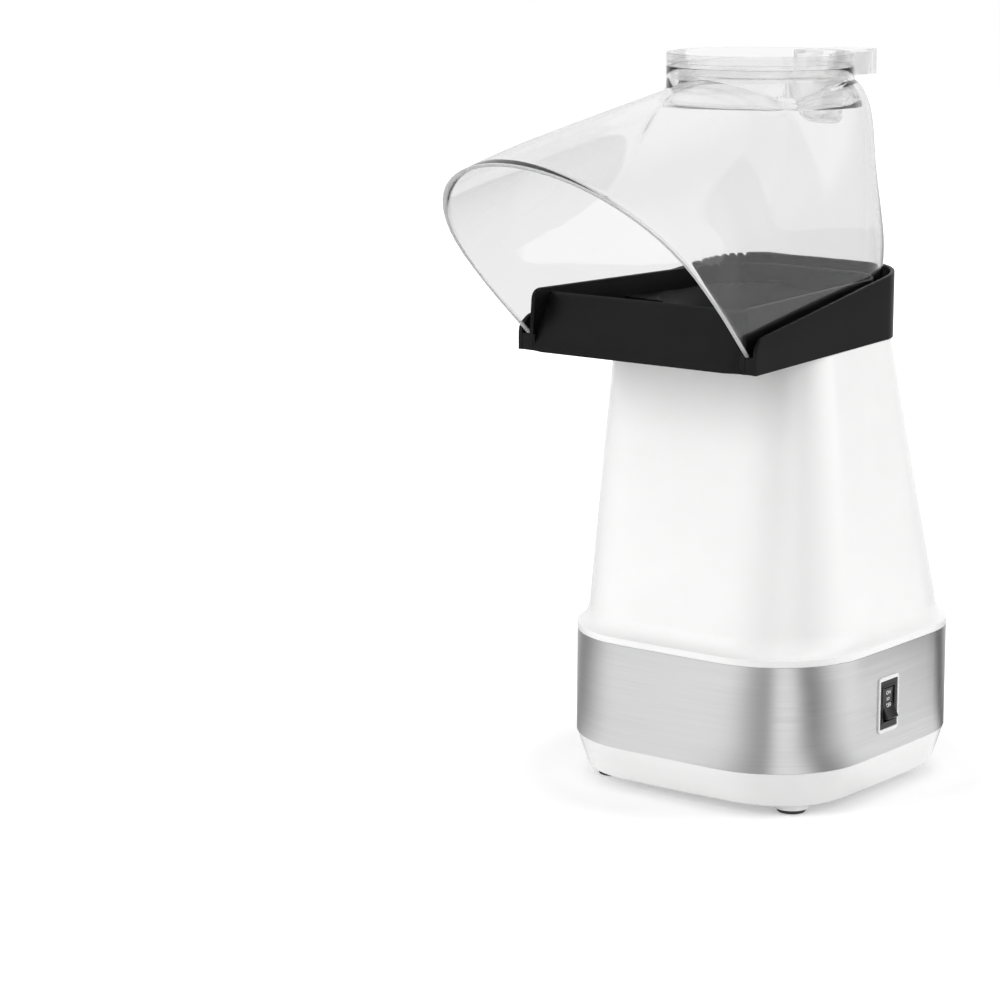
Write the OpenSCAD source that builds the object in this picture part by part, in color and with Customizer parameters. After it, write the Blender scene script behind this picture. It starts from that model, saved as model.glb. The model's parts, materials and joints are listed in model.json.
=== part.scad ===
// Hot air popcorn maker: an upright housing with a fan, a heater and a popping chamber,
// a black chute tray, a clear lift-off hood and a clear measuring cup in the hood's neck.
// Millimetres. +Z is up, -Y is the chute side, +X is the switch side.
// The origin is the centre of the base footprint, on the surface that the feet stand on.

/* [Base and band] */
// Width of the steel band, across X
band_w = 189; // [184:1:200]
// Depth of the steel band, across Y
band_d = 201; // [196:1:212]
// Corner radius of the steel band
band_r = 58; // [50:1:64]
// How far the long sides bow outwards
side_bow = 1.6; // [0:0.2:3]
// Height of the steel band's lower edge
band_z = 28.2; // [25:0.2:30]
// Height of the steel band itself
band_h = 62.6; // [58:0.2:70]
// Sheet thickness of the steel band
band_t = 0.8; // [0.5:0.1:1]
// Height of the base pan's floor above the ground
floor_z = 6.5; // [6:0.5:8]
// Wall of the base pan
pan_wall = 3.2; // [2.8:0.1:3.6]
// How far the base pan draws in from the band to its floor, across X
pan_draft_x = 6.4; // [4:0.2:8]
// How far the base pan draws in from the band to its floor, across Y
pan_draft_y = 9; // [6:0.5:10]

/* [Feet] */
// Distance of each foot from the centre, along X and along Y
foot_offset = 64; // [60:1:66]
// Diameter of the boss around each foot
foot_boss_d = 21; // [19:0.5:23]
// Diameter of each rubber foot
foot_pad_d = 17; // [14:0.5:18]
// Height of the boss's lower face above the ground
foot_boss_z = 2.5; // [2:0.25:3.5]

/* [Body shell] */
// Wall of the body shell
shell_wall = 2.4; // [2:0.1:3]
// Height of the upright lip above the band
lip_h = 4; // [3:0.5:6]
// Height of the concave flare above the lip
flare_h = 14; // [10:1:20]
// How far the flare draws in
flare_in = 7.4; // [5:0.2:9]
// Height of the body shell's top edge
shell_top_z = 265.5; // [255:0.5:275]
// Height of the body shell's screw posts above the base pan's rim
post_h = 46; // [30:1:52]

/* [Chute tray] */
// Half width of the tray at its front edge
tray_front_x = 81.7; // [79:0.1:84]
// Half width of the tray beside the origin
tray_mid_x = 68.7; // [67.5:0.1:70]
// Distance of the tray's front edge in front of the origin
tray_front_y = 134.7; // [128:0.1:140]
// Distance of the tray's rear edge behind the origin
tray_rear_y = 58; // [56:0.5:60]
// Radius of the tray's rear corners
tray_r = 34; // [30:1:38]
// Wall of the tray
tray_wall = 2.4; // [2:0.1:3]
// Height of the outer wall at the front, above the shell's top edge
tray_front_h = 19.5; // [17:0.5:22]
// Rise of the outer wall's top edge for each millimetre towards the rear
tray_rise = 0.111; // [0.08:0.001:0.13]
// Height of the groove floor above the shell's top edge
groove_z = 9.5; // [8.5:0.5:11]
// Distance from the outer wall's outside to the hood's outside
hood_inset = 5.7; // [5:0.1:6.2]
// Height of the inner wall's top edge above the shell's top edge
inner_wall_h = 36; // [33:0.5:40]
// Distance from the tray's front edge back to the ramp's top edge
ramp_run = 13.5; // [10:0.5:18]
// Height of the ramp's top edge above the shell's top edge
ramp_h = 33; // [28:0.5:35]

/* [Hood] */
// Wall of the clear hood
hood_wall = 2.2; // [1.8:0.1:2.6]
// Radius of the front vault
vault_r = 79; // [76:0.5:82]
// Height of the vault's crown over the origin, above the neck's top edge
crown_h = 5; // [-3:0.5:11]
// Fall of the crown for each millimetre towards the front
crown_fall = 0.165; // [0.1:0.005:0.2]
// Height of the rear shoulder over the neck's top edge, below it when negative
shoulder_h = -3.5; // [-7:0.5:-2]
// Half width of the hood's rear part at mid height
hood_mid_x = 67.1; // [65:0.1:70]
// Half width of the visor at mid height
visor_x = 78.6; // [77:0.1:80]
// How far forward the mouth leans for each millimetre up
mouth_lean = 1.1; // [0.9:0.01:1.2]
// Outer radius of the neck
neck_r = 54.4; // [52:0.1:56]
// Wall of the neck
neck_wall = 2.2; // [1.8:0.1:2.6]
// Distance of the neck's axis in front of the origin
axis_y = 12; // [8:0.5:16]
// Height of the neck's top edge, above the shell's top edge
neck_top_h = 159; // [157:0.5:162]
// Height of the neck's lower edge over its top edge, below it when negative
neck_low_h = -23; // [-27:0.5:-19]

/* [Measuring cup] */
// Height of the cup's rim above the neck's top edge
cup_rim_h = 7.5; // [6:0.5:10]
// Depth of the dish below the rim, outside
cup_dish_h = 15; // [14:0.5:18]
// Depth of the deep pocket below the rim, outside
cup_pocket_h = 41; // [34:0.5:48]
// Wall of the cup
cup_wall = 2; // [1.6:0.1:2.4]
// Distance from the cup's axis to the pocket's flat side
pocket_chord = 13.5; // [10:0.5:22]
// Direction of the pocket, in degrees from +X towards +Y
pocket_angle = 35; // [20:1:60]
// Width of the handle tab
tab_w = 27.6; // [22:0.2:34]
// Length of the handle tab beyond the rim
tab_l = 44.4; // [34:0.2:46]
// Depth of the handle tab's sides
tab_h = 15; // [8:0.5:16]

/* [Popping chamber] */
// Inner radius of the popping chamber
chamber_r = 46; // [42:0.5:47]
// Sheet thickness of the chamber
chamber_t = 1; // [0.8:0.1:1.4]
// Depth of the chamber below its flange
chamber_h = 108; // [100:1:112]
// Reach of the chamber's flange beyond the air duct's inside
flange_r = 5.6; // [3.6:0.1:6.6]
// Number of air slots around the chamber
slot_count = 24; // [16:1:28]
// Thickness of the silicone gasket
gasket_t = 1.6; // [1:0.1:2]

/* [Heater and fan] */
// Inner radius of the air duct around the chamber
duct_r = 53.4; // [52:0.2:54]
// Sheet thickness of the air duct
duct_t = 0.8; // [0.6:0.1:1.2]
// Radius of the heating coil's windings
coil_r = 36; // [30:1:40]
// Number of turns of the heating coil
coil_turns = 5; // [3:1:6]
// Diameter of the heating coil's strand
coil_d = 3; // [2:0.2:3.6]
// Radius of the fan impeller over the air duct's inner radius, inside it when negative
fan_r = -4.4; // [-9.4:0.1:-3.4]
// Height of the fan blades
fan_blade_h = 18; // [12:0.5:20]
// Number of fan blades
blade_count = 16; // [9:1:20]
// Wall of the fan housing
fan_wall = 1.8; // [1.4:0.1:2.2]
// Radius of the motor can
motor_r = 18; // [16:0.5:20]
// Length of the motor can
motor_h = 46; // [42:1:48]
// Radius of the motor shaft
shaft_r = 1.6; // [1.5:0.05:2]

/* [Switch] */
// Position of the switch's centre along Y
switch_y = -9.5; // [-14:0.5:0]
// Height of the switch's centre above the band's lower edge
switch_h = 29.6; // [26:0.2:34]
// Width of the switch bezel
bezel_w = 22; // [20:0.5:24]
// Height of the switch bezel
bezel_h = 33.6; // [31:0.2:36]
// Width of the rocker
rocker_w = 11.6; // [10:0.2:12]
// Length of the rocker
rocker_l = 18; // [16:0.5:19]
// Rocking angle between on and off
rocker_swing = 24; // [16:1:26]

/* [Clearances] */
// Gap between the band and the shell's skirt
band_gap = 0.2; // [0.1:0.05:0.4]
// Gap around parts that plug into each other
fit_gap = 0.3; // [0.2:0.05:0.5]
// Gap between moving parts and their surroundings
run_gap = 0.5; // [0.4:0.1:0.8]
// Radial gap between the shaft and its bearings
shaft_gap = 0.05; // [0.02:0.01:0.08]

/* [Hidden] */

// Heights that several parts share
band_top_z = band_z + band_h;
groove_floor_z = shell_top_z + groove_z;
neck_top_z = shell_top_z + neck_top_h;
neck_low_z = neck_top_z + neck_low_h;
air_y = -axis_y;
roof_hole_r = neck_r - neck_wall / 2;
flange_edge_r = duct_r + flange_r;
impeller_r = duct_r + fan_r;
skirt_in = band_t + band_gap;
skirt_t = 2.2;
rim_in = 0.3;
shell_top_y = 8;
shell_top_d = tray_rear_y + shell_top_y;
tray_flare = (tray_front_x - tray_mid_x) / tray_front_y;
shell_top_w = tray_mid_x + tray_flare * shell_top_y;
shell_top_taper = tray_flare * shell_top_d / shell_top_w;

flare_start = 20;
flare_top_z = band_top_z + lip_h + flare_h;

// Base pan
pan_floor_t = 2.4;
pan_edge = 2;
pan_floor_top = floor_z + pan_floor_t;
spigot_t = 1.6;
spigot_h = 8;
slot_w = 3;
slot_in_r = 20;
slot_out_r = 39;
intake_slots = 20;
foot_recess = 2.5;

// Screw posts that join the base pan to the body shell
post_x = 70;
post_y = 38;
post_r = 4.5;
boss_top_z = band_z + 6;
base_screw_r = 1.75;
base_screw_head_r = 3.6;
base_screw_head_h = 2.8;
screw_seat_z = band_z - 4;
screw_bite = 12;

// Chute tray
inner_wall_in = hood_inset + hood_wall + 1.3;
inner_r = tray_r + 8;
inner_back = 2;
inner_top_z = shell_top_z + inner_wall_h;
ramp_top_z = shell_top_z + ramp_h;
plate_low_z = groove_floor_z - tray_wall;
chute_lip_y = air_y - chamber_r;
funnel_h = 16.4;
funnel_spread = 12;
front_corner_r = 9;
far = 400;

// Stack of sheet parts that hang below the tray
gasket_low_z = plate_low_z - gasket_t;
chamber_flange_z = gasket_low_z - chamber_t;
duct_flange_z = chamber_flange_z - duct_t;
chamber_low_z = gasket_low_z - chamber_h;
flange_screw_r = flange_edge_r - 2.3;
flange_screws = 4;
m3_r = 1.25;
m3_head_r = 2.1;
m3_head_h = 1.8;
m3_bite = 5;

// Fan housing, from the ledge that carries the duct down to the inlet floor
ledge_z = 114;
fan_top_z = ledge_z + 5;
fan_floor_z = 76;
fan_floor_t = 2;
fan_inner_r = duct_r;
fan_outer_r = duct_r + duct_t + fit_gap + fan_wall;
inlet_in_r = 23;
inlet_out_r = 38;
inlet_count = 12;
grommet_ring_r = 46;
grommet_h = 6;
grommet_r = 5;
grommet_pin_r = 2;
grommet_pin_h = 5;
post_top_z = fan_floor_z - grommet_h;
grommet_angles = [90, 210, 330];

// Motor
bracket_t = 1.4;
bracket_r = 22;
motor_top_z = fan_floor_z - bracket_t;
motor_low_z = motor_top_z - motor_h;
can_t = 1.2;
cap_t = 4;
cap_low_z = motor_low_z - cap_t;
bearing_r = 4;
bearing_h = 4;
bore_r = shaft_r + shaft_gap;
magnet_t = 3.4;
magnet_h = 28;
magnet_z = motor_top_z - 4.5 - magnet_h;
core_r = motor_r - can_t - magnet_t - run_gap;
core_h = 22;
core_z = magnet_z + (magnet_h - core_h) / 2;
arm_w = 5;
hub_r = 5;
shoe_t = 2.6;
slot_gap = 2.4;
coil_end = 3;
wire_t = 1.3;
commutator_r = 4.5;
commutator_h = 7;
commutator_z = motor_low_z + 3;
shaft_low_z = cap_low_z - bearing_h + 1;
motor_screw_ring_r = 12.5;
motor_screw_count = 2;
hub_hole_r = 6;
brush_in_r = commutator_r + fit_gap;
brush_w = 3;
brush_l = 8;
poles = 5;

// Fan impeller
impeller_gap = 5;
blade_z = fan_floor_z + fan_floor_t + impeller_gap;
blade_top_z = blade_z + fan_blade_h;
blade_t = 1.2;
blade_in_r = 17;
blade_sweep = 28;
plate_t = 2;
impeller_hub_r = 8;
nut_h = 3.5;
nut_r = 4;
shaft_top_z = blade_top_z + plate_t + nut_h + 1.5;

// Heater
board_t = 1;
board_low_z = ledge_z;
board_h = 43;
board_reach = duct_r - 0.5;
coil_low_z = board_low_z + 12;
coil_pitch = 5;
coil_angle = 20;
coil_top_z = coil_low_z + coil_turns * coil_pitch;
pin_r = 1.6;
pin_reach = duct_r + 10.6;
bush_r = 3;
bush_flange_r = 5;
thermostat_angle = 42;
thermostat_z = 140;
fuse_angle = 140;
fuse_z = 190;
fuse_h = 14;

// Switch
switch_z = band_z + switch_h;
face_x = band_w / 2;
bezel_t = 2.1;
bezel_lip_t = 0.8;
panel_w = bezel_w - 3.4;
panel_h = bezel_h - 5;
panel_t = 1.1;
throat_w = panel_w - 1.6;
throat_h = panel_h - 1.6;
panel_x = face_x + bezel_lip_t + panel_t;
body_depth = 20;
rocker_x = panel_x - 3.9;
rocker_out = 4.4;
rocker_dip = 2.2;
pivot_r = 1.2;
pivot_l = 1.6;
tab_reach = 7;

// Electrics
board_x = 40;
board_y = 24;
board_z = 30;
board_sheet_t = 1.6;
board_centre_y = -66;
board_post_x = 14;
diode_r = 2.6;
diode_l = 9;
diode_y = [-7.5, -2.5, 2.5, 7.5];
gland_z = 17;
gland_face_y = band_d / 2 - 2.6;
gland_r = 7;
gland_bore_r = 3.5;
gland_flange_r = 9;
gland_flange_t = 2;
gland_l = 12;
bush_gap = 0.2;
lead_r = 1.2;

// Hood surface
hood_low_x = tray_mid_x - hood_inset;
hood_rear_y = tray_rear_y - hood_inset;
hood_top_rear_y = hood_rear_y - 3.8;
mouth_y = tray_front_y - 0.7;
crown_z = neck_top_z + crown_h;
shoulder_z = neck_top_z + shoulder_h;
hood_eye_z = groove_floor_z + 50;
visor_reach = 150;
crown_droop = 2.6;
droop_y = 190;
droop_run = 64;
blend_front_y = -53.5;
blend_rear_y = 10.9;
side_blend_z = groove_floor_z + 5;
side_blend_h = 50;
low_square = 4.2;
high_square = 2.3;
square_h = 100;
rear_shoulder = 7.4;
mouth_cols = 20;
rest_cols = 52;
hood_rows = 14;
bisections = 22;

// Measuring cup
rim_z = neck_top_z + cup_rim_h;
dish_low_z = rim_z - cup_dish_h;
pocket_low_z = rim_z - cup_pocket_h;
plug_r = neck_r - neck_wall - fit_gap;
pocket_r = plug_r - 3.7;
tab_top_z = rim_z - 1.4;
tab_low_z = tab_top_z - tab_h;
pocket_lean = 9;
pocket_slope = 0.16;
tab_t = 2;
tab_angle = -2.8;
dish_corner = 5.5;

function clamp01(t) = min(max(t, 0), 1);
function smooth(t) = let (c = clamp01(t)) c * c * (3 - 2 * c);
function lerp(a, b, t) = a + (b - a) * t;
function polar(r, angle) = [r * cos(angle), r * sin(angle)];

// Points of one corner of a rounded rectangle, from angle a0 through 90 degrees
function corner_pts(cx, cy, r, a0, steps = 9) =
    [for (i = [0:steps]) [cx, cy] + polar(r, a0 + 90 * i / steps)];

// Points between the last point of one corner and the first point of the next
function side_pts(p, q, steps = 6) = [for (i = [1:steps - 1]) lerp(p, q, i / steps)];

// A rounded rectangle of half width w and half depth d, centred at y = yc, with bowed sides
// and with a width that falls towards +Y by the share taper
function footprint(w, d, r, yc = 0, taper = 0, bow = 0) =
    let (
        c1 = corner_pts(w - r, d - r, r, 0),
        c2 = corner_pts(r - w, d - r, r, 90),
        c3 = corner_pts(r - w, r - d, r, 180),
        c4 = corner_pts(w - r, r - d, r, 270),
        n = len(c1) - 1,
        raw = concat(c1, side_pts(c1[n], c2[0]), c2, side_pts(c2[n], c3[0]),
            c3, side_pts(c3[n], c4[0]), c4, side_pts(c4[n], c1[0]))
    )
    [for (p = raw) [
        p[0] * (1 - bow / w * pow(p[1] / d, 2)) * (1 - taper * p[1] / d),
        p[1] * (1 - bow / d * pow(p[0] / w, 2)) + yc
    ]];

function at_z(points, z) = [for (p = points) [p[0], p[1], z]];

// The band's outline, drawn in by an inset along X and along Y
function band_outline(in_x, in_y) =
    footprint(band_w / 2 - in_x, band_d / 2 - in_y, band_r - max(in_x, in_y), 0, 0, side_bow);

// A closed solid through a stack of outlines that all have the same number of points
module loft(rings) {
    n = len(rings[0]);
    last = len(rings) - 1;
    polyhedron(
        points = [for (ring = rings) each ring],
        faces = concat(
            [[for (j = [0:n - 1]) j]],
            [for (i = [0:last - 1], j = [0:n - 1]) let (a = i * n + j, b = i * n + (j + 1) % n)
                each [[a, b + n, b], [a, a + n, b + n]]],
            [[for (j = [n - 1:-1:0]) last * n + j]]
        ),
        convexity = 6
    );
}

// A closed skin between an outer and an inner grid of points; each grid row goes once round
module skin(outer, inner) {
    n = len(outer[0]);
    m = len(outer);
    size = n * m;
    function quad(a, b, c, d) = [[a, c, b], [a, d, c]];
    polyhedron(
        points = concat([for (row = outer) each row], [for (row = inner) each row]),
        faces = [
            for (i = [0:m - 2], j = [0:n - 1]) let (k = (j + 1) % n)
                each concat(
                    quad(i * n + j, i * n + k, (i + 1) * n + k, (i + 1) * n + j),
                    quad(size + (i + 1) * n + j, size + (i + 1) * n + k,
                        size + i * n + k, size + i * n + j)
                ),
            for (j = [0:n - 1]) let (k = (j + 1) % n, b = (m - 1) * n)
                each concat(
                    quad(size + j, size + k, k, j),
                    quad(b + j, b + k, size + b + k, size + b + j)
                )
        ],
        convexity = 10
    );
}

// A round strand along a list of points, with flat ends
module strand(path, r, sides = 8) {
    last = len(path) - 1;
    function unit(v) = v / norm(v);
    function heading(i) = unit(path[min(i + 1, last)] - path[max(i - 1, 0)]);
    function across(v) = abs(v[2]) > 0.9 ? unit(cross(v, [0, 1, 0])) : unit(cross(v, [0, 0, 1]));
    rings = [for (i = [0:last]) let (h = heading(i), a = across(h), b = cross(h, a))
        [for (j = [0:sides - 1]) path[i] + r * (a * cos(360 * j / sides) + b * sin(360 * j / sides))]];
    loft(rings);
}

// A ring with a rectangular section
module tube(outer_r, inner_r, h) {
    difference() {
        cylinder(r = outer_r, h = h, $fn = 96);
        translate([0, 0, -1]) cylinder(r = inner_r, h = h + 2, $fn = 96);
    }
}

// A box centred on X and Y, standing on its lower face
module block(size) {
    translate([-size[0] / 2, -size[1] / 2, 0]) cube(size);
}

// Copies at equal angles round the air axis
module around(count, start = 0) {
    for (i = [0:count - 1]) rotate([0, 0, start + 360 * i / count]) children();
}

// Copies at the four corners of a rectangle
module corners(x, y) {
    for (sx = [-1, 1], sy = [-1, 1]) translate([sx * x, sy * y, 0]) children();
}

// A countersunk-free cap screw: the head hangs below z = 0 and the shank stands on it
module cap_screw(r, h, head_r, head_h) {
    cylinder(r = r, h = h, $fn = 32);
    translate([0, 0, -head_h]) difference() {
        cylinder(r = head_r, h = head_h, $fn = 48);
        translate([0, 0, -1]) block([head_r * 1.3, head_r * 0.3, 1 + head_h / 2]);
        translate([0, 0, -1]) block([head_r * 0.3, head_r * 1.3, 1 + head_h / 2]);
    }
}

// ---- Base ----

function pan_outline(z, inset) =
    let (
        t = (band_z - z) / (band_z - floor_z),
        edge = z < floor_z + pan_edge ? pan_edge - sqrt(max(pow(pan_edge, 2)
            - pow(floor_z + pan_edge - z, 2), 0)) : 0
    )
    band_outline(rim_in + pan_draft_x * t + edge + inset, rim_in + pan_draft_y * t + edge + inset);

module pan_solid(inset) {
    levels = [for (t = [0, 0.25, 0.6, 1]) floor_z + t * pan_edge];
    loft([for (z = concat(levels, [band_z])) at_z(pan_outline(z, inset), z)]);
}

module base_pan() {
    spigot_in = skirt_in + skirt_t + fit_gap;
    color("white") difference() {
        union() {
            difference() {
                pan_solid(0);
                translate([0, 0, pan_floor_t]) pan_solid(pan_wall);
                translate([0, 0, band_z - 1]) linear_extrude(2)
                    polygon(band_outline(rim_in + pan_wall, rim_in + pan_wall));
            }
            translate([0, 0, band_z - spigot_h / 2]) linear_extrude(spigot_h) difference() {
                polygon(band_outline(spigot_in, spigot_in));
                polygon(band_outline(spigot_in + spigot_t, spigot_in + spigot_t));
            }
            corners(foot_offset, foot_offset) translate([0, 0, foot_boss_z])
                cylinder(d = foot_boss_d, h = pan_floor_top - foot_boss_z, $fn = 64);
            corners(post_x, post_y) translate([0, 0, floor_z])
                cylinder(r = post_r + 0.7, h = boss_top_z - floor_z, $fn = 48);
            translate([0, air_y, 0]) for (angle = grommet_angles) rotate([0, 0, angle])
                translate([grommet_ring_r, 0, floor_z])
                    cylinder(r = grommet_r + 0.5, h = post_top_z - floor_z, $fn = 48);
            for (sx = [-1, 1]) translate([sx * board_post_x, board_centre_y, floor_z])
                cylinder(r = 3, h = board_z - floor_z, $fn = 32);
            translate([0, gland_face_y, gland_z]) rotate([90, 0, 0])
                cylinder(r = gland_flange_r + 1, h = pan_wall * 2, $fn = 64);
        }
        corners(foot_offset, foot_offset) translate([0, 0, foot_boss_z - 1])
            cylinder(d = foot_pad_d, h = foot_recess + 1, $fn = 64);
        corners(post_x, post_y) {
            translate([0, 0, floor_z - 1])
                cylinder(r = base_screw_head_r + fit_gap, h = screw_seat_z - floor_z + 1, $fn = 48);
            translate([0, 0, floor_z]) cylinder(r = base_screw_r + fit_gap, h = far, $fn = 32);
        }
        translate([0, air_y, 0]) for (angle = grommet_angles) rotate([0, 0, angle])
            translate([grommet_ring_r, 0, post_top_z - grommet_pin_h])
                cylinder(r = grommet_pin_r, h = far, $fn = 32);
        translate([0, air_y, floor_z - 1]) around(intake_slots)
            translate([slot_in_r, -slot_w / 2, 0])
                cube([slot_out_r - slot_in_r, slot_w, pan_floor_t + 2]);
        translate([0, gland_face_y + 1, gland_z]) rotate([90, 0, 0])
            cylinder(r = gland_r + bush_gap, h = gland_l + 2, $fn = 64);
        translate([0, gland_face_y, gland_z]) rotate([-90, 0, 0])
            cylinder(r = gland_flange_r + bush_gap, h = far, $fn = 64);
    }
}

module foot_pads() {
    color("#202022") corners(foot_offset, foot_offset)
        cylinder(d = foot_pad_d, h = foot_boss_z + foot_recess, $fn = 64);
}

module steel_band() {
    color("silver") difference() {
        translate([0, 0, band_z]) linear_extrude(band_h) difference() {
            polygon(band_outline(0, 0));
            polygon(band_outline(band_t, band_t));
        }
        switch_cutout(fit_gap);
    }
}

// The rectangular hole that the switch body passes through
module switch_cutout(gap) {
    translate([face_x - body_depth, switch_y - throat_w / 2 - gap, switch_z - throat_h / 2 - gap])
        cube([body_depth * 2, throat_w + 2 * gap, throat_h + 2 * gap]);
}

// ---- Body shell ----

function flare_share(t) = let (a = lerp(flare_start, 90, t))
    (sin(a) - sin(flare_start)) / (1 - sin(flare_start));
function flare_height(t) = let (a = lerp(flare_start, 90, t))
    flare_h * (cos(flare_start) - cos(a)) / cos(flare_start);

// Outline of the tapering tower at height z, drawn in by inset
function tower_outline(z, inset) =
    let (t = (z - flare_top_z) / (shell_top_z - flare_top_z))
    footprint(
        lerp(band_w / 2 - flare_in, shell_top_w, t) - inset,
        lerp(band_d / 2 - flare_in, shell_top_d, t) - inset,
        lerp(band_r - flare_in, tray_r, t) - inset,
        -shell_top_y * t, shell_top_taper * clamp01(t), side_bow * (1 - clamp01(t)));

module tower(inset, low_z, top_z) {
    steps = 6;
    flare = [for (i = [0:6]) let (t = i / 6, in = flare_in * flare_share(t))
        [band_top_z + lip_h + flare_height(t), band_outline(in + inset, in + inset)]];
    rings = concat(
        [at_z(band_outline(inset, inset), low_z)],
        [for (f = flare) at_z(f[1], f[0])],
        [for (i = [1:steps]) let (z = lerp(flare_top_z, top_z, i / steps))
            at_z(tower_outline(z, inset), z)]
    );
    loft(rings);
}

module body_shell() {
    color("white") difference() {
        union() {
            difference() {
                union() {
                    tower(0, band_top_z, shell_top_z);
                    translate([0, 0, band_z]) linear_extrude(band_h + 1)
                        polygon(band_outline(skirt_in, skirt_in));
                }
                tower(shell_wall, band_top_z + 2, shell_top_z + 1);
                translate([0, 0, band_z - 1]) linear_extrude(band_h + 4)
                    polygon(band_outline(skirt_in + skirt_t, skirt_in + skirt_t));
            }
            corners(post_x, post_y) {
                translate([0, 0, boss_top_z]) cylinder(r = post_r, h = post_h, $fn = 48);
            }
            for (sx = [-1, 1], sy = [-1, 1])
                translate([sx > 0 ? post_x : -band_w / 2 + skirt_in + 1, sy * post_y - 1, boss_top_z])
                    cube([band_w / 2 - skirt_in - 1 - post_x, 2, post_h]);
        }
        corners(post_x, post_y) translate([0, 0, boss_top_z - 1])
            cylinder(r = base_screw_r, h = screw_bite + 1, $fn = 32);
        switch_cutout(fit_gap);
    }
}

// ---- Chute tray ----

// Outline of the tray, drawn in by inset at the sides and the rear. Its rear corners have
// radius r and its rear edge moves forward by back.
function tray_outline(inset, front_in = 0, r = tray_r, back = 0) =
    let (
        k = sqrt(1 + tray_flare * tray_flare),
        a0 = atan(tray_flare),
        cy = tray_rear_y - back - r,
        cx = tray_mid_x - tray_flare * cy - r * k,
        fy = -tray_front_y + front_in,
        fx = tray_mid_x - tray_flare * fy - inset * k,
        arc = [for (i = [0:12]) [cx, cy] + polar(r - inset, lerp(a0, 90, i / 12))]
    )
    concat([[fx, fy]], arc, [for (i = [12:-1:0]) [-arc[i][0], arc[i][1]]], [[-fx, fy]]);

module tray_prism(inset, low_z, high_z, front_in = 0) {
    translate([0, 0, low_z]) linear_extrude(high_z - low_z)
        polygon(tray_outline(inset, front_in));
}

// The same prism for what stands inside the hood, whose rear corners are rounder
module inner_prism(inset, low_z, high_z, front_in = 0) {
    translate([0, 0, low_z]) linear_extrude(high_z - low_z)
        polygon(tray_outline(inset, front_in, inner_r, inner_back));
}

// A profile given in Y and Z, extruded across X
module across_x(points, width) {
    translate([-width / 2, 0, 0]) rotate([90, 0, 90]) linear_extrude(width) polygon(points);
}

// Everything above the outer wall's sloping top edge, with a round at its front corner
module above_outer_wall() {
    z0 = shell_top_z + tray_front_h;
    y0 = -tray_front_y;
    r = front_corner_r;
    round_pts = [for (i = [0:6]) let (a = 180 - 15 * i)
        [y0 + r + r * cos(a), z0 - r + r * sin(a) + tray_rise * r]];
    across_x(concat([[y0 - 1, z0 - r]], round_pts,
        [[tray_rear_y + 1, z0 + tray_rise * (tray_rear_y + 1 - y0)],
            [tray_rear_y + 1, far], [y0 - 1, far]]), far);
}

// Everything above the funnel that leads down to the popping chamber
module funnel_void() {
    translate([0, air_y, plate_low_z]) rotate_extrude($fn = 96)
        polygon([[0, tray_wall], [chamber_r, tray_wall], [chamber_r + funnel_spread, funnel_h],
            [far, funnel_h], [far, far], [0, far]]);
}

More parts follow.
